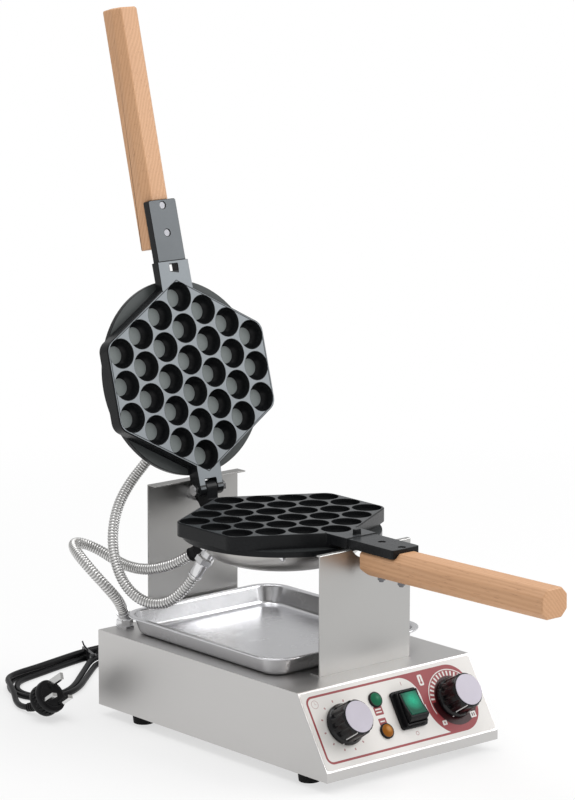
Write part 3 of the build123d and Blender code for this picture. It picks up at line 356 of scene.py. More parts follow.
def lens(name, deep, bright, centre, reach, strength):
    """A coloured lens: moulded facets, and a painted glow that is brighter about its middle."""
    f = Finish(name)
    x, y, z = f.axes(f.place())
    facets = f.node("ShaderNodeTexVoronoi", {"feature": "F1"}, {"Vector": f.place(), "Scale": 480.0})
    away = 0
    for axis, middle in zip((x, y, z), centre):
        away = (axis - middle * MM) * (axis - middle * MM) + away
    # Painted light: the glow and the brighter middle stand in for the light the lens catches, not for a lamp
    # behind it.
    glow = away.math("SQRT").below(reach * MM, reach * 1.3 * MM)
    return f.close(
        Base_Color=f.mixed(glow * (facets * -0.5 + 1.0), rgb(*deep), rgb(*bright)),
        Roughness=facets * 0.10 + 0.30,
        Normal=f.bump(facets, 0.0002, 0.30),
        Emission_Color=f.mixed(glow, rgb(*(v * 0.25 for v in deep)), rgb(*bright)),
        Emission_Strength=strength,
        Specular_IOR_Level=0.12,
    )


def box_distance(across, up, low, high, radius):
    """Distance to a rounded rectangle on the panel, less than nothing inside it."""
    half = ((high[0] - low[0]) / 2 - radius, (high[1] - low[1]) / 2 - radius)
    dx = (abs(across - (low[0] + high[0]) / 2) - half[0]).most(0.0)
    dy = (abs(up - (low[1] + high[1]) / 2) - half[1]).most(0.0)
    return (dx * dx + dy * dy).math("SQRT") - radius


def all_of(shares):
    """The greatest of several shares."""
    first, *others = shares
    for share in others:
        first = first.most(share)
    return first


# Patches printed on the label: low corner, high corner and rounding, across the panel and up its slope
TAGS = [((41, 68), (47.6, 80.5), 1.8), ((52.8, 19.6), (59, 25), 0.8), ((95, 20.4), (103, 27.4), 0.8)]
TAG_MARKS = [
    ((43.6, 71.5), (45.0, 78.5), 0.5), ((42.7, 70), (45.9, 72.8), 1.3), ((55, 21.2), (56.8, 23.4), 0.4),
    ((97, 22), (98.4, 25.8), 0.4), ((99.8, 22), (101.2, 25.8), 0.4),
]
LAMP_BOXES = [((-33.5, 47.6), (-21.5, 57.4), 0.8), ((-32.5, 36.4), (-22, 44), 0.8)]
LAMP_LINES = [
    ((-31.5, 53.6), (-23.5, 55.0), 0.3), ((-31.5, 50.2), (-23.5, 51.6), 0.3),
    ((-30.5, 39.6), (-24, 41.0), 0.3),
]
CLOCK_HANDS = [((-108.2, 75), (-107.8, 78.2), 0.1), ((-108.2, 75), (-106, 75.4), 0.1)]
CLOCK = ((-108, 75.2), 4.4, 0.5)
OFF_RING = ((13.5, 18.6), 2.0, 0.6)
ON_BAR = ((15.3, 73.6), (16.1, 77.8), 0.2)
FRAME_LEFT = ((-119, 8.3), (60, 84.8), 9)
FRAME_RIGHT = ((-20, 8.3), (110, 84.8), 28)
FRAME_INSET = 1.2
FRAME_HALF = 1.25
FIELD = ((-140, -40), (37, 82.6), 26)
FIELD_TURN_UP = 47.0
# Radii and widths about the two knobs
DIAL_GAP = 41.3
DIAL_LINE = (33.0, 1.1)
DIAL_DARK = 30.8
DIAL_BARE = 25.6
TICK_MIDDLE = 28.7
TICK_HALF = 2.7
TIMER_LINE = (28.0, 2.6)
# Radians anticlockwise from the right where the dial's arcs end, and ticks to a full turn
ARC_FROM = 0.75
ARC_TO = -2.75
TICKS_TO = 3.05
DIAL_TICKS = 36.0
TIMER_TICKS = 12.0


def printed_label():
    """Off-white film: dark red frame line and field, dial ring and ticks, bare tags and plain marks, with a
    painted shade about the thermostat knob.
    """
    f = Finish("printed_label")
    x, y, z = f.axes(f.place((1000, 1000, 1000)))
    up = (y - PANEL_FOOT.y) * PANEL_UP.y + (z - PANEL_FOOT.z) * PANEL_UP.z

    def patch(low, high, corner):
        return box_distance(x, up, low, high, corner).below(0.0, 0.3)

    def patches(table):
        return all_of([patch(*row) for row in table])

    def ring(centre, radius, width):
        away = ((x - centre[0]) * (x - centre[0]) + (up - centre[1]) * (up - centre[1])).math("SQRT")
        return away, (abs(away - radius) - width / 2).below(0.0, 0.25)

    outline = box_distance(x, up, *FRAME_LEFT).least(box_distance(x, up, *FRAME_RIGHT))
    line = (abs(outline + FRAME_INSET) - FRAME_HALF).below(0.0, 0.3)
    inside = (outline + FRAME_INSET).below(0.0, 0.3)
    from_dial, dial_line = ring((KNOB_X, KNOB_UP), *DIAL_LINE)
    field_low = (DIAL_GAP - from_dial).below(0.0, 0.3)
    upper = (FIELD_TURN_UP - up).below(0.0, 0.3)
    field = patch(*FIELD) * upper + field_low * (1 - upper)
    red = (line + inside * (1 - field)).math("MINIMUM", 1.0)

    angle = (up - KNOB_UP).math("ARCTAN2", x - KNOB_X)
    over_top = (ARC_FROM - angle).below(0.0, 0.06)
    round_left = (over_top + (angle - ARC_TO).below(0.0, 0.06)).math("MINIMUM", 1.0)
    tick = (0.25 - (angle * DIAL_TICKS).math("SINE")).below(0.0, 0.5)
    tick_band = (abs(from_dial - TICK_MIDDLE) - TICK_HALF).below(0.0, 0.3)
    tick_band = tick_band * over_top * (angle - TICKS_TO).below(0.0, 0.05)
    # Painted shade: a near-black red ring about the thermostat knob over its top, and a full disc below it,
    # for the knob's shadow on the label.
    knob_shade = from_dial.below(DIAL_DARK, 0.8) * (1 - over_top * (DIAL_BARE - from_dial).below(0.0, 0.4))
    white = all_of([dial_line * round_left, tick * tick_band, patches(TAGS)]) * (1 - patches(TAG_MARKS))

    timer_line = ring((-KNOB_X, KNOB_UP), *TIMER_LINE)[1]
    timer_angle = (up - KNOB_UP).math("ARCTAN2", x + KNOB_X)
    timer_ticks = (0.93 - (timer_angle * TIMER_TICKS).math("SINE")).below(0.0, 0.06) * timer_line * 0.75
    clock = all_of([ring(*CLOCK)[1], patches(CLOCK_HANDS)]) * 0.7
    on_off = all_of([ring(*OFF_RING)[1], patch(*ON_BAR)]) * 0.8
    lamp_tags = patches(LAMP_BOXES) * (1 - patches(LAMP_LINES))
    red = all_of([red, lamp_tags, timer_ticks, clock, on_off]) * (1 - white)

    grain = f.noise(f.place(), 2400.0, 2.0, 0.6)
    clouds = f.noise(f.place(), 18.0, 2.0, 0.5)
    paper = f.mixed(clouds, rgb(0.70, 0.68, 0.655), rgb(0.75, 0.735, 0.71))
    ink = f.mixed(clouds, rgb(0.26, 0.036, 0.042), rgb(0.31, 0.045, 0.052))
    # Painted shade: the red turns near black where the knob's shadow falls.
    ink = f.mixed(knob_shade, ink, rgb(0.030, 0.0012, 0.0030))
    return f.close(
        Base_Color=f.mixed(red, paper, ink),
        Roughness=(grain - 0.5) * 0.08 + (clouds - 0.5) * 0.06 + 0.42,
        Normal=f.bump(grain + red * 0.6, 0.00002, 0.6),
        Specular_IOR_Level=0.35,
    )


# Keyed by name here, since the frame may hold materials of the same names already
finishes = {
    "housing_steel": brushed("housing_steel", (0.61, 0.60, 0.59), 0.40, 0.06, 0.05),
    "stand_steel": brushed("stand_steel", (0.48, 0.475, 0.465), 0.34, 0.16, 0.10),
    # Painted shade: the rear stand's steel is a darker copy of the stand's steel, for the shade it stands in.
    "shaded_stand_steel": brushed("shaded_stand_steel", (0.40, 0.395, 0.385), 0.38, 0.20, 0.08),
    "tray_steel": polished("tray_steel", (0.74, 0.74, 0.76), 0.26, 24.0),
    "cover_steel": polished("cover_steel", (0.56, 0.545, 0.525), 0.32),
    "bright_fastener": polished("bright_fastener", (0.78, 0.78, 0.79), 0.18),
    # Painted shade: the handle bolts get a dark steel colour for the shade of the holes they sit in.
    "shaded_fastener": polished("shaded_fastener", (0.16, 0.16, 0.17), 0.22),
    "ground_steel": polished("ground_steel", (0.66, 0.66, 0.67), 0.26),
    "conduit_steel": corrugated("conduit_steel"),
    "element_steel": polished("element_steel", (0.30, 0.28, 0.26), 0.42),
    "coated_lower": coated("coated_lower", False),
    "coated_upper": coated("coated_upper", True),
    "mineral_wool": plastic("mineral_wool", (0.62, 0.56, 0.44), 0.95, 260.0, 0.0006),
    "beech_lower": beech("beech_lower", 0.0),
    "beech_upper": beech("beech_upper", -LID_LEAN),
    "printed_label": printed_label(),
    "knob_black": plastic("knob_black", (0.004, 0.004, 0.005), 0.17, 700.0, 0.00001, Specular_IOR_Level=0.34),
    "knob_cap": plastic("knob_cap", (0.55, 0.52, 0.60), 0.34, 1400.0, 0.00003, Specular_IOR_Level=0.3),
    "black_plastic": plastic("black_plastic", (0.006, 0.006, 0.007), 0.42, Specular_IOR_Level=0.16),
    "terminal_white": plastic("terminal_white", (0.78, 0.77, 0.72), 0.40),
    "foot_rubber": plastic(
        "foot_rubber", (0.008, 0.008, 0.008), 0.74, 1200.0, 0.00008, Specular_IOR_Level=0.2
    ),
    "cord_pvc": plastic("cord_pvc", (0.004, 0.004, 0.005), 0.40, 1500.0, 0.00005, Specular_IOR_Level=0.20),
    "tie_wire": plastic("tie_wire", (0.02, 0.02, 0.022), 0.30, 1500.0, 0.00003),
    "blade_metal": polished("blade_metal", (0.84, 0.84, 0.83), 0.16),
    "pointer_white": plastic("pointer_white", (0.86, 0.85, 0.84), 0.38),
    "green_lens": lens(
        "green_lens", (0.01, 0.12, 0.06), (0.13, 0.42, 0.28), (-26.2, -162.0, 78.6), 3.0, 0.36
    ),
    "rocker_green": lens(
        "rocker_green", (0.0, 0.070, 0.040), (0.0, 0.34, 0.19), (13.5, -180.0, 75.0), 8.0, 0.30
    ),
    "amber_lens": lens(
        "amber_lens", (0.26, 0.090, 0.010), (0.80, 0.44, 0.14), (-26.2, -181.2, 48.2), 3.4, 0.34
    ),
}


# Building pieces
def placed(name, mesh, finish, body, replaces):
    """A finished piece: linked, given its finish, set to ride, and with the CAD nodes it replaces hidden."""
    piece = bpy.data.objects.new(name, mesh)
    bpy.context.scene.collection.objects.link(piece)
    mesh.materials.clear()
    mesh.materials.append(finishes[finish])
    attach(piece, body)
    if replaces:
        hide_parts(*replaces)
    return piece


def settled(obj):
    """The plain mesh that an object's modifiers give, with the object removed."""
    bpy.context.view_layer.update()
    graph = bpy.context.evaluated_depsgraph_get()
    mesh = bpy.data.meshes.new_from_object(obj.evaluated_get(graph), depsgraph=graph)
    bpy.data.objects.remove(obj)
    return mesh


def smooth(mesh, angle):
    """Smooth shading, with creases over an angle kept sharp."""
    mesh.polygons.foreach_set("use_smooth", [True] * len(mesh.polygons))
    mesh.set_sharp_from_angle(angle=math.radians(angle))
    return mesh


def from_bmesh(name, bm):
    mesh = bpy.data.meshes.new(name)
    bmesh.ops.remove_doubles(bm, verts=bm.verts, dist=1e-7)
    bmesh.ops.recalc_face_normals(bm, faces=bm.faces)
    bm.to_mesh(mesh)
    bm.free()
    return mesh


def skinned(bm, rings, steps):
    """Faces between rings of vertices; a ring of one vertex closes the skin."""
    for lower, upper in zip(rings, rings[1:]):
        for index in range(steps):
            after = (index + 1) % steps
            corners = [lower[index % len(lower)], lower[after % len(lower)]]
            corners += [upper[after % len(upper)], upper[index % len(upper)]]
            corners = list(dict.fromkeys(corners))
            if len(corners) > 2:
                bm.faces.new(corners)


def lathed(bm, place, profile, steps, sides=None):
    """Turn a (radius, height) outline about a place's Z axis, round or with a number of sides."""
    rings = []
    for radius, height in profile:
        if radius < 1e-6:
            rings.append([bm.verts.new(place @ Vector((0, 0, height)))])
            continue
        ring = []
        for index in range(steps):
            angle = 2 * math.pi * index / steps
            reach = radius
            if sides:
                part = (angle + math.pi / sides) % (2 * math.pi / sides) - math.pi / sides
                reach = radius * math.cos(math.pi / sides) / math.cos(part)
            spot = Vector((reach * math.cos(angle), reach * math.sin(angle), height))
            ring.append(bm.verts.new(place @ spot))
        rings.append(ring)
    skinned(bm, rings, steps)


# A direction that none of the collars' lines runs along
ASKEW = Vector((0.31, 0.17, 0.94))


def collar(bm, line, profile, steps=28):
    """Rings about the start of a smooth line, from (distance, radius) pairs in millimetres."""
    rings = []
    for distance, radius in profile:
        left = distance * MM
        for before, after in zip(line, line[1:]):
            span = (after - before).length
            if left <= span:
                break
            left -= span
        ahead = (after - before).normalized()
        spot = before + ahead * left
        side = ahead.cross(ASKEW).normalized()
        over = ahead.cross(side)
        if radius < 1e-6:
            rings.append([bm.verts.new(spot)])
            continue
        ring = []
        for index in range(steps):
            turn = 2 * math.pi * index / steps
            ring.append(bm.verts.new(spot + (side * math.cos(turn) + over * math.sin(turn)) * radius * MM))
        rings.append(ring)
    skinned(bm, rings, steps)


def ribs(start, count, pitch, high, low, taper):
    """A ribbed outline: (distance, radius) pairs whose ribs shrink by taper each."""
    outline = []
    for index in range(count):
        foot = start + index * pitch
        top = high - taper * index
        base = low - taper * index
        outline += [(foot, base), (foot + pitch * 0.12, top)]
        outline += [(foot + pitch * 0.58, top), (foot + pitch * 0.7, base)]
    return outline


def levelled(name, mesh):
    """A mesh whose large flats stay flat in shading beside its rounded edges."""
    obj = bpy.data.objects.new(name, mesh)
    bpy.context.scene.collection.objects.link(obj)
    level = obj.modifiers.new("level", "WEIGHTED_NORMAL")
    level.keep_sharp = True
    return settled(obj)


def eased(name, source, finish, body, width, angle, segments, crease=40.0):
    """A CAD node's shape with its seams merged and its creases eased by a width."""
    bm = bmesh.new()
    bm.from_mesh(nodes[source].data)
    bmesh.ops.remove_doubles(bm, verts=bm.verts, dist=2e-6)
    bmesh.ops.dissolve_limit(
        bm, angle_limit=math.radians(0.4), verts=bm.verts, edges=bm.edges, use_dissolve_boundaries=False
    )
    mesh = bpy.data.meshes.new(name + "_plain")
    bm.to_mesh(mesh)
    bm.free()
    piece = bpy.data.objects.new(name + "_plain", mesh)
    bpy.context.scene.collection.objects.link(piece)
    ease = piece.modifiers.new("ease", "BEVEL")
    ease.width = width * MM
    ease.segments = segments
    ease.limit_method = "ANGLE"
    ease.angle_limit = math.radians(angle)
    ease.use_clamp_overlap = False
    ease.miter_outer = "MITER_ARC"
    mesh = levelled(name + "_eased", smooth(settled(piece), crease))
    return placed(name, mesh, finish, body, (source,))


# Shares of the painted light on flats a little off the parting level, and on flats larger than a cavity's
# floor, whose area is in square metres
NECK_SHARE = 0.55
FLANGE_SHARE = 0.25
FLOOR_AREA = 6e-4


def mark_flats(piece, out, face_sheen_share, floor_wear_and_light_share):
    """Paint a casting's parting face and its cavities' flat floors with the shares its finish reads: painted
    light on the face, wear and painted light on the floors.
    """
    mesh = piece.data
    out = Vector(out).normalized()
    facing = [face for face in mesh.polygons if face.normal.dot(out) > 0.995]
    flats = [(face.center.dot(out), face.area, face.index) for face in facing]
    areas = {}
    for height, area, index in flats:
        level = round(height / MM)
        areas[level] = areas.get(level, 0) + area
    top = max(level for level, area in areas.items() if area > 0.5 * max(areas.values()))
    parting = max((area, height) for height, area, index in flats if round(height / MM) == top)[1]
    faces = [0.0] * len(mesh.polygons)
    floors = [0.0] * len(mesh.polygons)
    for height, area, index in flats:
        depth = (parting - height) / MM
        if abs(depth) < 1.7:
            faces[index] = face_sheen_share if abs(depth) < 0.3 else face_sheen_share * NECK_SHARE
        elif 5 < depth < 18:
            floors[index] = floor_wear_and_light_share if area < FLOOR_AREA else floor_wear_and_light_share * FLANGE_SHARE
    for label, shares in (("parting_face", faces), ("cavity_floor", floors)):
        layer = mesh.attributes.new(label, "FLOAT", "FACE")
        layer.data.foreach_set("value", shares)


# Lead, hank and tail: one spline
LEAD_ROUTE = [
    (36.0, 216.0, 38.0), (36.0, 235.0, 38.0), (37.5, 257.0, 33.0), (42.0, 280.0, 24.0),
    (49.0, 303.0, 14.5), (58.5, 326.0, 7.5), (69.5, 346.0, 4.6), (74.5, 362.0, 4.2),
]
# Middle of the bundle, with the direction that points out of the loop
BUNDLE = {
    "right": (73.0, 368.0, 1.0, 0.05),
    "right_back": (66.3, 382.3, 0.7, 0.7),
    "back_turn": (50.0, 389.0, 0.05, 1.0),
    "waist_back": (4.0, 389.5, -0.1, 1.0),
    "back": (-42.0, 379.5, -0.228, 0.974),
    "back_far": (-84.0, 369.7, -0.228, 0.974),
    "left_back": (-117.0, 361.5, -0.25, 0.97),
    "left_high": (-135.5, 347.0, -0.707, 0.707),
    "left": (-151.0, 321.0, -0.996, 0.087),
    "left_low": (-151.0, 293.0, -0.766, -0.643),
    "left_front": (-131.0, 275.5, -0.174, -0.985),
    "front_far": (-94.0, 282.0, 0.53, -0.85),
    "front": (-42.0, 328.4, 0.642, -0.767),
    "waist_front": (2.0, 365.0, 0.45, -0.9),
    "front_turn": (30.0, 346.0, -0.3, -0.95),
    "right_front": (56.0, 343.8, 0.3, -0.95),
}


def strand(*stops):
    """Control points of the bundle: each stop names its place, how far out it lies and its height."""
    points = []
    for place, out, height in stops:
        x, y, out_x, out_y = BUNDLE[place]
        points.append((x + out_x * out, y + out_y * out, height))
    return points


HANK_ROUTE = strand(
    ("right_back", 3.5, 3.8), ("back_turn", 3.5, 3.6), ("waist_back", 2.6, 3.6), ("back", 3.6, 3.6),
    ("back_far", 5.6, 3.6), ("left_back", 5.0, 3.6), ("left_high", 4.6, 3.6), ("left", 4.2, 3.6),
    ("left_low", 3.8, 3.6), ("left_front", 3.6, 3.6), ("front_far", 3.6, 3.6), ("front", 3.6, 3.6),
    ("waist_front", 2.6, 3.6), ("front_turn", 0.0, 3.6), ("right_front", -3.6, 3.6),
    ("right", -3.8, 3.6), ("right_back", -4.0, 3.6), ("back_turn", -4.0, 3.6), ("waist_back", -4.4, 3.6),
    ("back", -4.2, 3.6), ("back_far", -5.6, 3.6), ("left_back", -5.8, 3.6), ("left_high", -4.6, 3.6),
    ("left", -3.8, 3.6), ("left_low", -3.6, 3.6), ("left_front", -3.6, 3.6), ("front_far", -3.7, 3.6),
    ("front", -4.2, 4.4), ("waist_front", -3.6, 9.6), ("front_turn", -0.5, 11.0),
    ("right_front", 2.0, 11.0), ("right", 1.6, 11.0), ("right_back", 0.6, 11.0), ("back_turn", 0.0, 11.0),
    ("waist_back", 0.0, 11.0), ("back", 0.0, 10.8), ("back_far", 0.0, 10.6), ("left_back", 2.0, 10.8),
    ("left_high", 7.0, 11.0),
)
TAIL_LIFT = [
    (-154.5, 324.0, 10.8), (-165.5, 303.0, 8.4), (-177.5, 283.0, 4.8), (-184.0, 263.0, 4.8),
    (-183.336, 240.328, 9.09), (-181.629, 230.647, 15.973),
]
LEAD_RADIUS = 3.4

# Conduits, from the lid to the head and from the head to the base
UPPER_ROUTE = [
    (-36.0, 200.0, 296.0), (-48.0, 205.0, 280.0), (-67.0, 207.0, 262.0), (-90.0, 201.0, 241.0),
    (-106.0, 192.0, 217.0), (-113.0, 183.0, 190.0), (-113.0, 171.0, 164.0), (-108.0, 154.0, 145.5),
    (-100.0, 133.0, 137.0), (-90.5, 112.0, 141.0), (-80.5, 96.0, 157.5), (-72.0, 84.5, 178.0),
    (-66.5, 75.0, 197.0),
]
LOWER_ROUTE = [
    (-56.6, 92.0, 203.0), (-65.0, 108.0, 191.0), (-75.0, 131.0, 177.0), (-83.8, 162.0, 168.5),
    (-87.0, 192.0, 168.0), (-89.0, 214.0, 173.0), (-94.0, 231.0, 180.0), (-103.0, 242.0, 186.0),
    (-116.0, 245.0, 190.5), (-129.0, 236.0, 191.5), (-138.0, 219.0, 188.0), (-140.5, 200.0, 179.5),
    (-136.5, 186.0, 167.5), (-128.5, 177.0, 154.5), (-118.5, 174.5, 142.5), (-109.0, 176.5, 132.0),
    (-102.0, 180.5, 121.5), (-97.0, 182.5, 112.0), (-97.0, 182.5, 103.0),
]


def spline(name, points):
    """A smooth curve object led by a route's points."""
    data = bpy.data.curves.new(name, "CURVE")
    data.dimensions = "3D"
    data.resolution_u = 16
    line = data.splines.new("NURBS")
    line.points.add(len(points) - 1)
    for knot, point in zip(line.points, points):
        knot.co = (*(Vector(point) * MM), 1)
    line.order_u = 3
    line.use_endpoint_u = True
    curve = bpy.data.objects.new(name, data)
    bpy.context.scene.collection.objects.link(curve)
    return curve


def centreline(points):
    """The points, in metres, along the smooth line of a route."""
    mesh = settled(spline("centreline", points))
    line = [vertex.co.copy() for vertex in mesh.vertices]
    bpy.data.meshes.remove(mesh)
    return line


def lay_lead():
    lead = spline("mains_lead", LEAD_ROUTE + HANK_ROUTE + TAIL_LIFT)
    lead.data.bevel_depth = LEAD_RADIUS * MM
    lead.data.bevel_resolution = 6
    lead.data.use_fill_caps = True
    lead.data.materials.append(finishes["cord_pvc"])
    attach(lead, "base")
    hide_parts("power_cord", "cord_hank", "plug_tail")
    return lead


lead = lay_lead()
lead_line = centreline(LEAD_ROUTE + HANK_ROUTE + TAIL_LIFT)


RINGS_TO_RIDGE = 6.0


def ridged_tree():
    """Geometry nodes: a tube with rounded ridges along a line of edges."""
    tree = bpy.data.node_groups.new("ridged_tube", "GeometryNodeTree")
    face = tree.interface
    face.new_socket("Geometry", in_out="INPUT", socket_type="NodeSocketGeometry")
    sizes = (("Radius", 0.00635), ("Ridge depth", 0.0009), ("Ridge pitch", 0.0033))
    for label, size in sizes:
        socket = face.new_socket(label, in_out="INPUT", socket_type="NodeSocketFloat")
        socket.default_value = size
    face.new_socket("Geometry", in_out="OUTPUT", socket_type="NodeSocketGeometry")

    def add(kind, links, **settings):
        node = tree.nodes.new(kind)
        for key, value in settings.items():
            setattr(node, key, value)
        for key, value in links.items():
            if isinstance(value, (int, float, str)):
                node.inputs[key].default_value = value
            else:
                tree.links.new(value, node.inputs[key])
        return node

    start = tree.nodes.new("NodeGroupInput")
    line = add("GeometryNodeMeshToCurve", {"Mesh": start.outputs["Geometry"]})
    step = add("ShaderNodeMath", {0: start.outputs["Ridge pitch"], 1: RINGS_TO_RIDGE}, operation="DIVIDE")
    even = add(
        "GeometryNodeResampleCurve", {"Curve": line.outputs[0], "Length": step.outputs[0]}, mode="LENGTH"
    )
    along = add("GeometryNodeSplineParameter", {})
    kept = tree.nodes.new("GeometryNodeCaptureAttribute")
    kept.capture_items.new("FLOAT", "Along")
    tree.links.new(even.outputs[0], kept.inputs[0])
    tree.links.new(along.outputs["Length"], kept.inputs[1])
    ring = add("GeometryNodeCurvePrimitiveCircle", {"Resolution": 20, "Radius": start.outputs["Radius"]})
    tube = add("GeometryNodeCurveToMesh", {"Curve": kept.outputs[0], "Profile Curve": ring.outputs["Curve"]})
    tube.inputs["Fill Caps"].default_value = True
    turns = add("ShaderNodeMath", {0: kept.outputs[1], 1: start.outputs["Ridge pitch"]}, operation="DIVIDE")
    phase = add("ShaderNodeMath", {0: turns.outputs[0], 1: 2 * math.pi}, operation="MULTIPLY")
    wave = add("ShaderNodeMath", {0: phase.outputs[0]}, operation="COSINE")
    low = add("ShaderNodeMath", {0: wave.outputs[0], 1: 1.0}, operation="SUBTRACT")
    deep = add("ShaderNodeMath", {0: low.outputs[0], 1: start.outputs["Ridge depth"]}, operation="MULTIPLY")
    half = add("ShaderNodeMath", {0: deep.outputs[0], 1: 0.5}, operation="MULTIPLY")
    outward = add("GeometryNodeInputNormal", {})
    push = add("ShaderNodeVectorMath", {0: outward.outputs[0], "Scale": half.outputs[0]}, operation="SCALE")
    pushed = add("GeometryNodeSetPosition", {"Geometry": tube.outputs[0], "Offset": push.outputs[0]})
    # The share of painted shade, 1 at the bottom of each groove and 0 on the crests, stored for the finish.
    share = add("ShaderNodeMath", {0: low.outputs[0], 1: -0.5}, operation="MULTIPLY")
    painted = add(
        "GeometryNodeStoreNamedAttribute",
        {"Geometry": pushed.outputs[0], "Name": "shaded_groove", "Value": share.outputs[0]},
        data_type="FLOAT", domain="POINT",
    )
    real = add("GeometryNodeRealizeInstances", {"Geometry": painted.outputs[0]})
    coat = add("GeometryNodeSetMaterial", {"Geometry": real.outputs[0]})
    coat.inputs["Material"].default_value = finishes["conduit_steel"]
    end = tree.nodes.new("NodeGroupOutput")
    tree.links.new(coat.outputs[0], end.inputs[0])
    return tree


ridged = ridged_tree()


def grown(name, mesh, tree):
    """The plain mesh that a tree makes from a mesh."""
    obj = bpy.data.objects.new(name, mesh)
    bpy.context.scene.collection.objects.link(obj)
    grow = obj.modifiers.new("grow", "NODES")
    grow.node_group = tree
    return settled(obj)


def line_mesh(name, points):
    mesh = bpy.data.meshes.new(name)
    mesh.from_pydata(points, [(index, index + 1) for index in range(len(points) - 1)], [])
    return mesh


def conduit(name, route):
    """A corrugated conduit along a route's smooth line, and that line."""
    line = centreline(route)
    mesh = grown(name, line_mesh(name + "_line", line), ridged)
    smooth(mesh, 80)
    piece = bpy.data.objects.new(name, mesh)
    bpy.context.scene.collection.objects.link(piece)
    return piece, line


upper_conduit, upper_line = conduit("lid_conduit", UPPER_ROUTE)
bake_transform(upper_conduit)
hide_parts("conduit_upper")
lower_conduit, lower_line = conduit("base_conduit", LOWER_ROUTE)
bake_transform(lower_conduit)
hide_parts("conduit_lower")


# Castings, covers and handles
PARTING_OUT = {"lower": (0, 0, 1), "upper": (0, -math.sin(LID_LEAN), -math.cos(LID_LEAN))}
# Lit and shaded copies: the lid, which faces the lamps, takes all of the painted grey on its parting face and
# floors, the head only a share of it.
for side, body, face_sheen_share, floor_wear_and_light_share in (("lower", "head", 0.15, 0.30), ("upper", "lid", 1.0, 1.0)):
    casting = eased(
        f"{side}_mould_casting", f"{side}_mould", f"coated_{side}", body, 0.7, 38, 3, 25
    )
    mark_flats(casting, PARTING_OUT[side], face_sheen_share, floor_wear_and_light_share)
    eased(f"{side}_cover_dish", f"{side}_heater_cover", "cover_steel", body, 0.25, 50, 1)
    eased(f"{side}_wooden_handle", f"{side}_handle", f"beech_{side}", body, 1.3, 25, 3)
    eased(f"{side}_dome_nuts", f"{side}_cover_nuts", "bright_fastener", body, 0.25, 50, 1)

# Base and stands
eased("steel_housing", "housing_shell", "housing_steel", "base", 0.35, 60, 2)
eased("front_stand_sheet", "front_stand", "stand_steel", "base", 0.25, 60, 2)
eased("rear_stand_sheet", "rear_stand", "shaded_stand_steel", "base", 0.25, 60, 2)
eased("feet", "rubber_feet", "foot_rubber", "base", 0.5, 50, 2)


# Drip tray
TRAY_LOW = (-117.0, -100.5)
TRAY_HIGH = (112.0, 172.0)
TRAY_BASE = 100.2
TRAY_CORNER = 32.0


def tray_loop(bm, inset, height, steps=9):
    """One rounded-rectangle loop of the tray."""
    radius = max(TRAY_CORNER - inset, 3.0)
    low = [value + inset + radius for value in TRAY_LOW]
    high = [value - inset - radius for value in TRAY_HIGH]
    loop = []
    middles = (high[0], high[1]), (low[0], high[1]), (low[0], low[1]), (high[0], low[1])
    for quarter, (x, y) in enumerate(middles):
        for index in range(steps):
            turn = math.radians(90 * quarter + 90 * index / (steps - 1))
            spot = mm(x + radius * math.cos(turn), y + radius * math.sin(turn), TRAY_BASE + height)
            loop.append(bm.verts.new(spot))
    return loop


def press_tray():
    """Pressed steel tray: rolled rim, flat lip, sloped wall, rounded foot and a shallow stiffening step."""
    top = [(1.5, 22.4), (2.6, 22.5), (5.6, 22.3), (6.6, 21.9), (7.4, 21.0), (8.0, 19.6), (12.9, 5.4),
           (13.8, 3.5), (15.2, 2.0), (17.2, 1.15), (20.5, 0.95), (27.0, 0.95), (28.0, 1.15), (29.0, 1.75),
           (30.2, 1.95), (31.5, 2.0)]
    under = [(1.2, 19.7), (0.35, 20.1), (0.0, 20.95), (0.15, 21.8), (0.75, 22.3)]
    outer = [(30.2, 1.2), (28.6, 0.5), (27.0, 0.0), (17.0, 0.0), (14.6, 1.0), (12.9, 2.9), (12.0, 4.9),
             (7.1, 19.3), (6.3, 20.7), (5.0, 21.4), (2.6, 21.5), (1.9, 21.1), (1.8, 20.3)]
    bm = bmesh.new()
    loops = [tray_loop(bm, inset, height) for inset, height in outer + under + top]
    skinned(bm, loops, len(loops[0]))
    bm.faces.new(loops[0])
    bm.faces.new(loops[-1])
    mesh = levelled("pressed_tray", smooth(from_bmesh("pressed_tray", bm), 50))
    placed("pressed_tray", mesh, "tray_steel", "tray", ("drip_tray",))


press_tray()

# Knobs and rocker; the pointer is drawn through distances from the knob's axis and heights
POINTER = [
    (17.2, 28.0), (18.9, 27.6), (19.45, 26.0), (19.75, 8.0), (20.4, 4.6), (21.2, 4.0), (23.0, 3.9),
    (23.5, 3.2), (23.5, 1.6),
]
POINTER_TURN = math.radians(-30)


def draw_pointer(name, across, body):
    """A thin white line down a knob's lower left flank and over its skirt."""
    place = panel_seat(across, KNOB_UP) @ Matrix.Rotation(POINTER_TURN, 4, "Z")
    bm = bmesh.new()
    rows = []
    for reach, height in POINTER:
        rows.append([
            bm.verts.new(place @ Vector((side, -(reach - sink), height)))
            for side, sink in ((-0.5, 0.0), (0.5, 0.0), (0.5, 0.7), (-0.5, 0.7))
        ])
    skinned(bm, rows, 4)
    bm.faces.new(rows[0])
    bm.faces.new(rows[-1])
    placed(name, smooth(from_bmesh(name, bm), 30), "pointer_white", body, ())


for name, across in (("timer", -KNOB_X), ("thermostat", KNOB_X)):
    body = name + "_dial"
    eased(f"{name}_grip", f"{name}_knob", "knob_black", body, 0.45, 40, 2)
    eased(f"{name}_disc", f"{name}_knob_cap", "knob_cap", body, 0.25, 50, 2)
    draw_pointer(f"{name}_pointer", across, body)
eased("rocker_frame", "rocker_housing", "black_plastic", "base", 0.45, 50, 2)
eased("rocker_tip", "rocker_button", "black_plastic", "rocker", 0.4, 50, 2)
eased("rocker_window", "rocker_lens", "rocker_green", "rocker", 0.5, 50, 2)


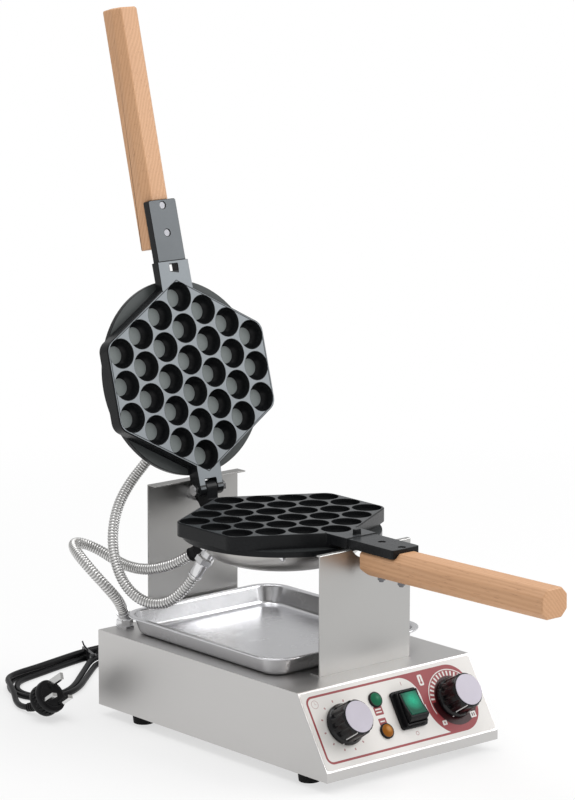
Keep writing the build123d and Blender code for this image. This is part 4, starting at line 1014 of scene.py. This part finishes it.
# Conduit ends, strain reliefs and plug
def conduit_end(name, line, body, finish, nut_radius, sleeve=27.0):
    """A hex nut and a smooth sleeve over the start of a conduit."""
    bm = bmesh.new()
    ahead = (line[6] - line[0]).normalized()
    chamfer = nut_radius * 0.86
    nut = [(0, -1.0), (chamfer, -1.0), (nut_radius, 0.2), (nut_radius, 6.6), (chamfer, 7.8), (0, 7.8)]
    lathed(bm, seat(line[0] / MM, ahead), nut, 36, 6)
    near = [(7.0, 0), (7.0, 7.6), (8.6, 8.0), (9.8, 7.6)]
    far = [(sleeve - 3, 7.5), (sleeve - 2.4, 8.1), (sleeve - 0.6, 8.1), (sleeve, 7.6), (sleeve, 0)]
    collar(bm, line, near + far)
    placed(name, smooth(from_bmesh(name, bm), 32), finish, body, ())


conduit_end("conduit_ferrule_head", upper_line[::-1], "head", "bright_fastener", 10.8)
conduit_end("conduit_ferrule_lower", lower_line, "head", "black_plastic", 9.6, 18.0)
conduit_end("conduit_ferrule_lid", upper_line, "lid", "bright_fastener", 9.6, 16.0)
conduit_end("conduit_ferrule_base", lower_line[::-1], "base", "bright_fastener", 9.6, 18.0)

bm = bmesh.new()
collar(bm, lead_line, [(0, 0), (0, 5.3)] + ribs(0.4, 7, 3.4, 5.3, 4.5, 0.17) + [(24.6, 3.9), (25.2, 0)])
placed("lead_relief", smooth(from_bmesh("lead_relief", bm), 32), "black_plastic", "base", ())


TIE_ROUTES = [
    [(0, 379, 14.6), (-3, 380, 19), (-6, 380, 22), (-8.5, 378.5, 27)],
    [(-3, 362, 12), (-7, 356, 16), (-10, 350, 17), (-13, 347, 13)],
]


def tie_ends():
    """The two free ends of the wire tie."""
    bm = bmesh.new()
    for route in TIE_ROUTES:
        collar(bm, centreline(route), [(0, 0), (0, 1.0), (9, 0.95), (16, 0.9), (16.4, 0)], 10)
    placed("tie_ends", smooth(from_bmesh("tie_ends", bm), 60), "tie_wire", "base", ())


tie_ends()

PLUG_HEADING = math.radians(-80)
PLUG_LEAN = math.radians(35)
PLUG_ROLL = math.radians(-20)
PLUG_FRONT = (-178.5, 212.9, 28.592)
PLUG_RIBS = 22
PLUG_AHEAD = Vector((math.cos(PLUG_HEADING), math.sin(PLUG_HEADING), 0))
PLUG_ACROSS = Vector((-math.sin(PLUG_HEADING), math.cos(PLUG_HEADING), 0))
PLUG_ALONG = PLUG_AHEAD * math.cos(PLUG_LEAN) + Vector((0, 0, math.sin(PLUG_LEAN)))
PLUG_SEAT = seat(PLUG_FRONT, PLUG_ALONG, PLUG_ACROSS) @ Matrix.Rotation(PLUG_ROLL, 4, "Z")


def mould_plug():
    """A moulded plug: round face with a raised band, waisted grip with ribs, and a ribbed tail."""
    bm = bmesh.new()
    face = [(0, -0.8), (13.8, -0.8), (14.6, -0.1), (17.6, 0), (18.9, -0.5), (19.5, -1.8), (19.5, -5.2),
            (19.1, -5.9)]
    grip = [(18.2, -6.4), (17.3, -7.6), (17.0, -9.6), (17.3, -11.8)]
    back = [(18.3, -13.4), (18.7, -15.6), (18.2, -18.0), (16.2, -20.2), (12.4, -21.6), (8.2, -22.2),
            (7.2, -22.8), (0, -22.8)]
    lathed(bm, PLUG_SEAT, face + grip + back, 60)
    for index in range(PLUG_RIBS):
        angle = 2 * math.pi * index / PLUG_RIBS
        across = Vector((-math.sin(angle), math.cos(angle), 0))
        out = Vector((math.cos(angle), math.sin(angle), 0))
        rows = []
        for depth, rise in ((-6.6, 17.9), (-8.2, 18.7), (-11.4, 18.7), (-13.0, 17.9)):
            low = [across * side + out * 16.6 + Vector((0, 0, depth)) for side in (-0.9, 0.9)]
            high = [across * side + out * rise + Vector((0, 0, depth)) for side in (0.55, -0.55)]
            rows.append([bm.verts.new(PLUG_SEAT @ spot) for spot in low + high])
        skinned(bm, rows, 4)
        bm.faces.new(rows[0])
        bm.faces.new(rows[-1])
    tail = [(0, 0), (0, 7.2), (0.6, 7.2)] + ribs(1.0, 6, 3.8, 6.6, 5.2, 0.3) + [(24.4, 4.0), (25, 0)]
    collar(bm, lead_line[::-1], tail)
    mesh = smooth(from_bmesh("moulded_plug", bm), 36)
    return placed("moulded_plug", mesh, "cord_pvc", "base", ("plug_body",))


moulded_plug = mould_plug()

# Finishes of the CAD nodes that stay
kept_finishes = {
    "base_plate": "housing_steel", "base_plate_screws": "bright_fastener", "foot_screws": "bright_fastener",
    "stand_screws": "bright_fastener", "stand_nuts": "bright_fastener", "control_panel": "printed_label",
    "timer_body": "black_plastic", "thermostat_body": "black_plastic", "timer_shaft": "ground_steel",
    "thermostat_shaft": "ground_steel", "control_nuts": "bright_fastener", "lamp_housings": "black_plastic",
    "green_lamp_lens": "green_lens", "amber_lamp_lens": "amber_lens", "terminal_block": "terminal_white",
    "pivot_bush": "ground_steel", "pivot_shaft": "ground_steel", "pivot_nut": "bright_fastener",
    "hinge_pin": "ground_steel", "hinge_nuts": "bright_fastener",
    "lower_heating_element": "element_steel", "upper_heating_element": "element_steel",
    "lower_insulation": "mineral_wool", "upper_insulation": "mineral_wool",
    "thermostat_bulb": "element_steel",
    "lower_conduit_fittings": "ground_steel", "upper_conduit_fittings": "ground_steel",
    "base_conduit_gland": "ground_steel", "cable_gland": "black_plastic", "cable_gland_nut": "black_plastic",
    "cord_tie": "tie_wire", "plug_pins": "blade_metal", "lower_handle_bolts": "shaded_fastener",
    "upper_handle_bolts": "shaded_fastener",
}
for node, finish in kept_finishes.items():
    mesh = nodes[node].data
    mesh.materials.clear()
    mesh.materials.append(finishes[finish])


# Floor, light and background, in metres
FLOOR_REACH = 14.0
GLOW_NEAR = 0.58
FAR_FROM = 0.9
FAR_RAMP = 1.4
SKY_ON_OBJECT = 0.62


def white_floor():
    """A floor that looks white, and that keeps part of its shading near the object."""
    f = Finish("floor")
    x, y, _ = f.axes(f.place())
    away = (x * x + y * y).math("SQRT")
    seen = f.node("ShaderNodeLightPath", out="Is Camera Ray")
    glossy = f.node("ShaderNodeLightPath", out="Is Glossy Ray")
    through = f.node("ShaderNodeLightPath", out="Is Transmission Ray")
    viewed = (seen + glossy + through).math("MINIMUM", 1.0)
    far = 1 - away.below(FAR_FROM, FAR_RAMP)
    share = (far * (1 - GLOW_NEAR) + GLOW_NEAR) * viewed
    plain = f.node("ShaderNodeBsdfDiffuse", None, {"Color": rgb(0.86, 0.86, 0.86)})
    glow = f.node("ShaderNodeEmission", None, {"Color": rgb(1, 1, 1), "Strength": 1.0})
    both = f.node("ShaderNodeMixShader", None, {0: share, 1: plain, 2: glow})
    f.node_output(both)
    return f.material


def lay_floor():
    mesh = bpy.data.meshes.new("floor")
    reach = FLOOR_REACH
    corners = [(-reach, -reach, 0), (reach, -reach, 0), (reach, reach, 0), (-reach, reach, 0)]
    mesh.from_pydata(corners, [], [(0, 1, 2, 3)])
    mesh.materials.append(white_floor())
    floor = bpy.data.objects.new("floor", mesh)
    bpy.context.scene.collection.objects.link(floor)


def softbox(name, towards, distance, size, power):
    """A square area lamp, aimed at the moulds."""
    data = bpy.data.lights.new(name, "AREA")
    data.shape = "SQUARE"
    data.size = size
    data.energy = power
    lamp = bpy.data.objects.new(name, data)
    target = Vector((0, 0, 0.25))
    place = target + Vector(towards).normalized() * distance
    facing = (place - target).to_track_quat("Z", "Y").to_matrix().to_4x4()
    lamp.matrix_world = Matrix.Translation(place) @ facing
    bpy.context.scene.collection.objects.link(lamp)


def light_world():
    """White where the camera looks past the object, and a softer white that lights it."""
    world = bpy.data.worlds.new("studio")
    bpy.context.scene.world = world
    world.use_nodes = True
    tree = world.node_tree
    tree.nodes.clear()
    rays = tree.nodes.new("ShaderNodeLightPath")
    both = tree.nodes.new("ShaderNodeMath")
    both.operation = "MAXIMUM"
    tree.links.new(rays.outputs["Is Camera Ray"], both.inputs[0])
    tree.links.new(rays.outputs["Is Transmission Ray"], both.inputs[1])
    strength = tree.nodes.new("ShaderNodeMapRange")
    tree.links.new(both.outputs[0], strength.inputs["Value"])
    strength.inputs["To Min"].default_value = SKY_ON_OBJECT
    strength.inputs["To Max"].default_value = 1.0
    sky = tree.nodes.new("ShaderNodeBackground")
    sky.inputs["Color"].default_value = rgb(1, 1, 1)
    tree.links.new(strength.outputs[0], sky.inputs["Strength"])
    out = tree.nodes.new("ShaderNodeOutputWorld")
    tree.links.new(sky.outputs[0], out.inputs[0])


lay_floor()
softbox("key", towards=(0.62, -0.55, 0.62), distance=2.4, size=1.5, power=30)
softbox("top", towards=(-0.15, 0.2, 1.0), distance=2.4, size=1.8, power=25)
light_world()
bpy.context.scene.view_settings.view_transform = "Standard"
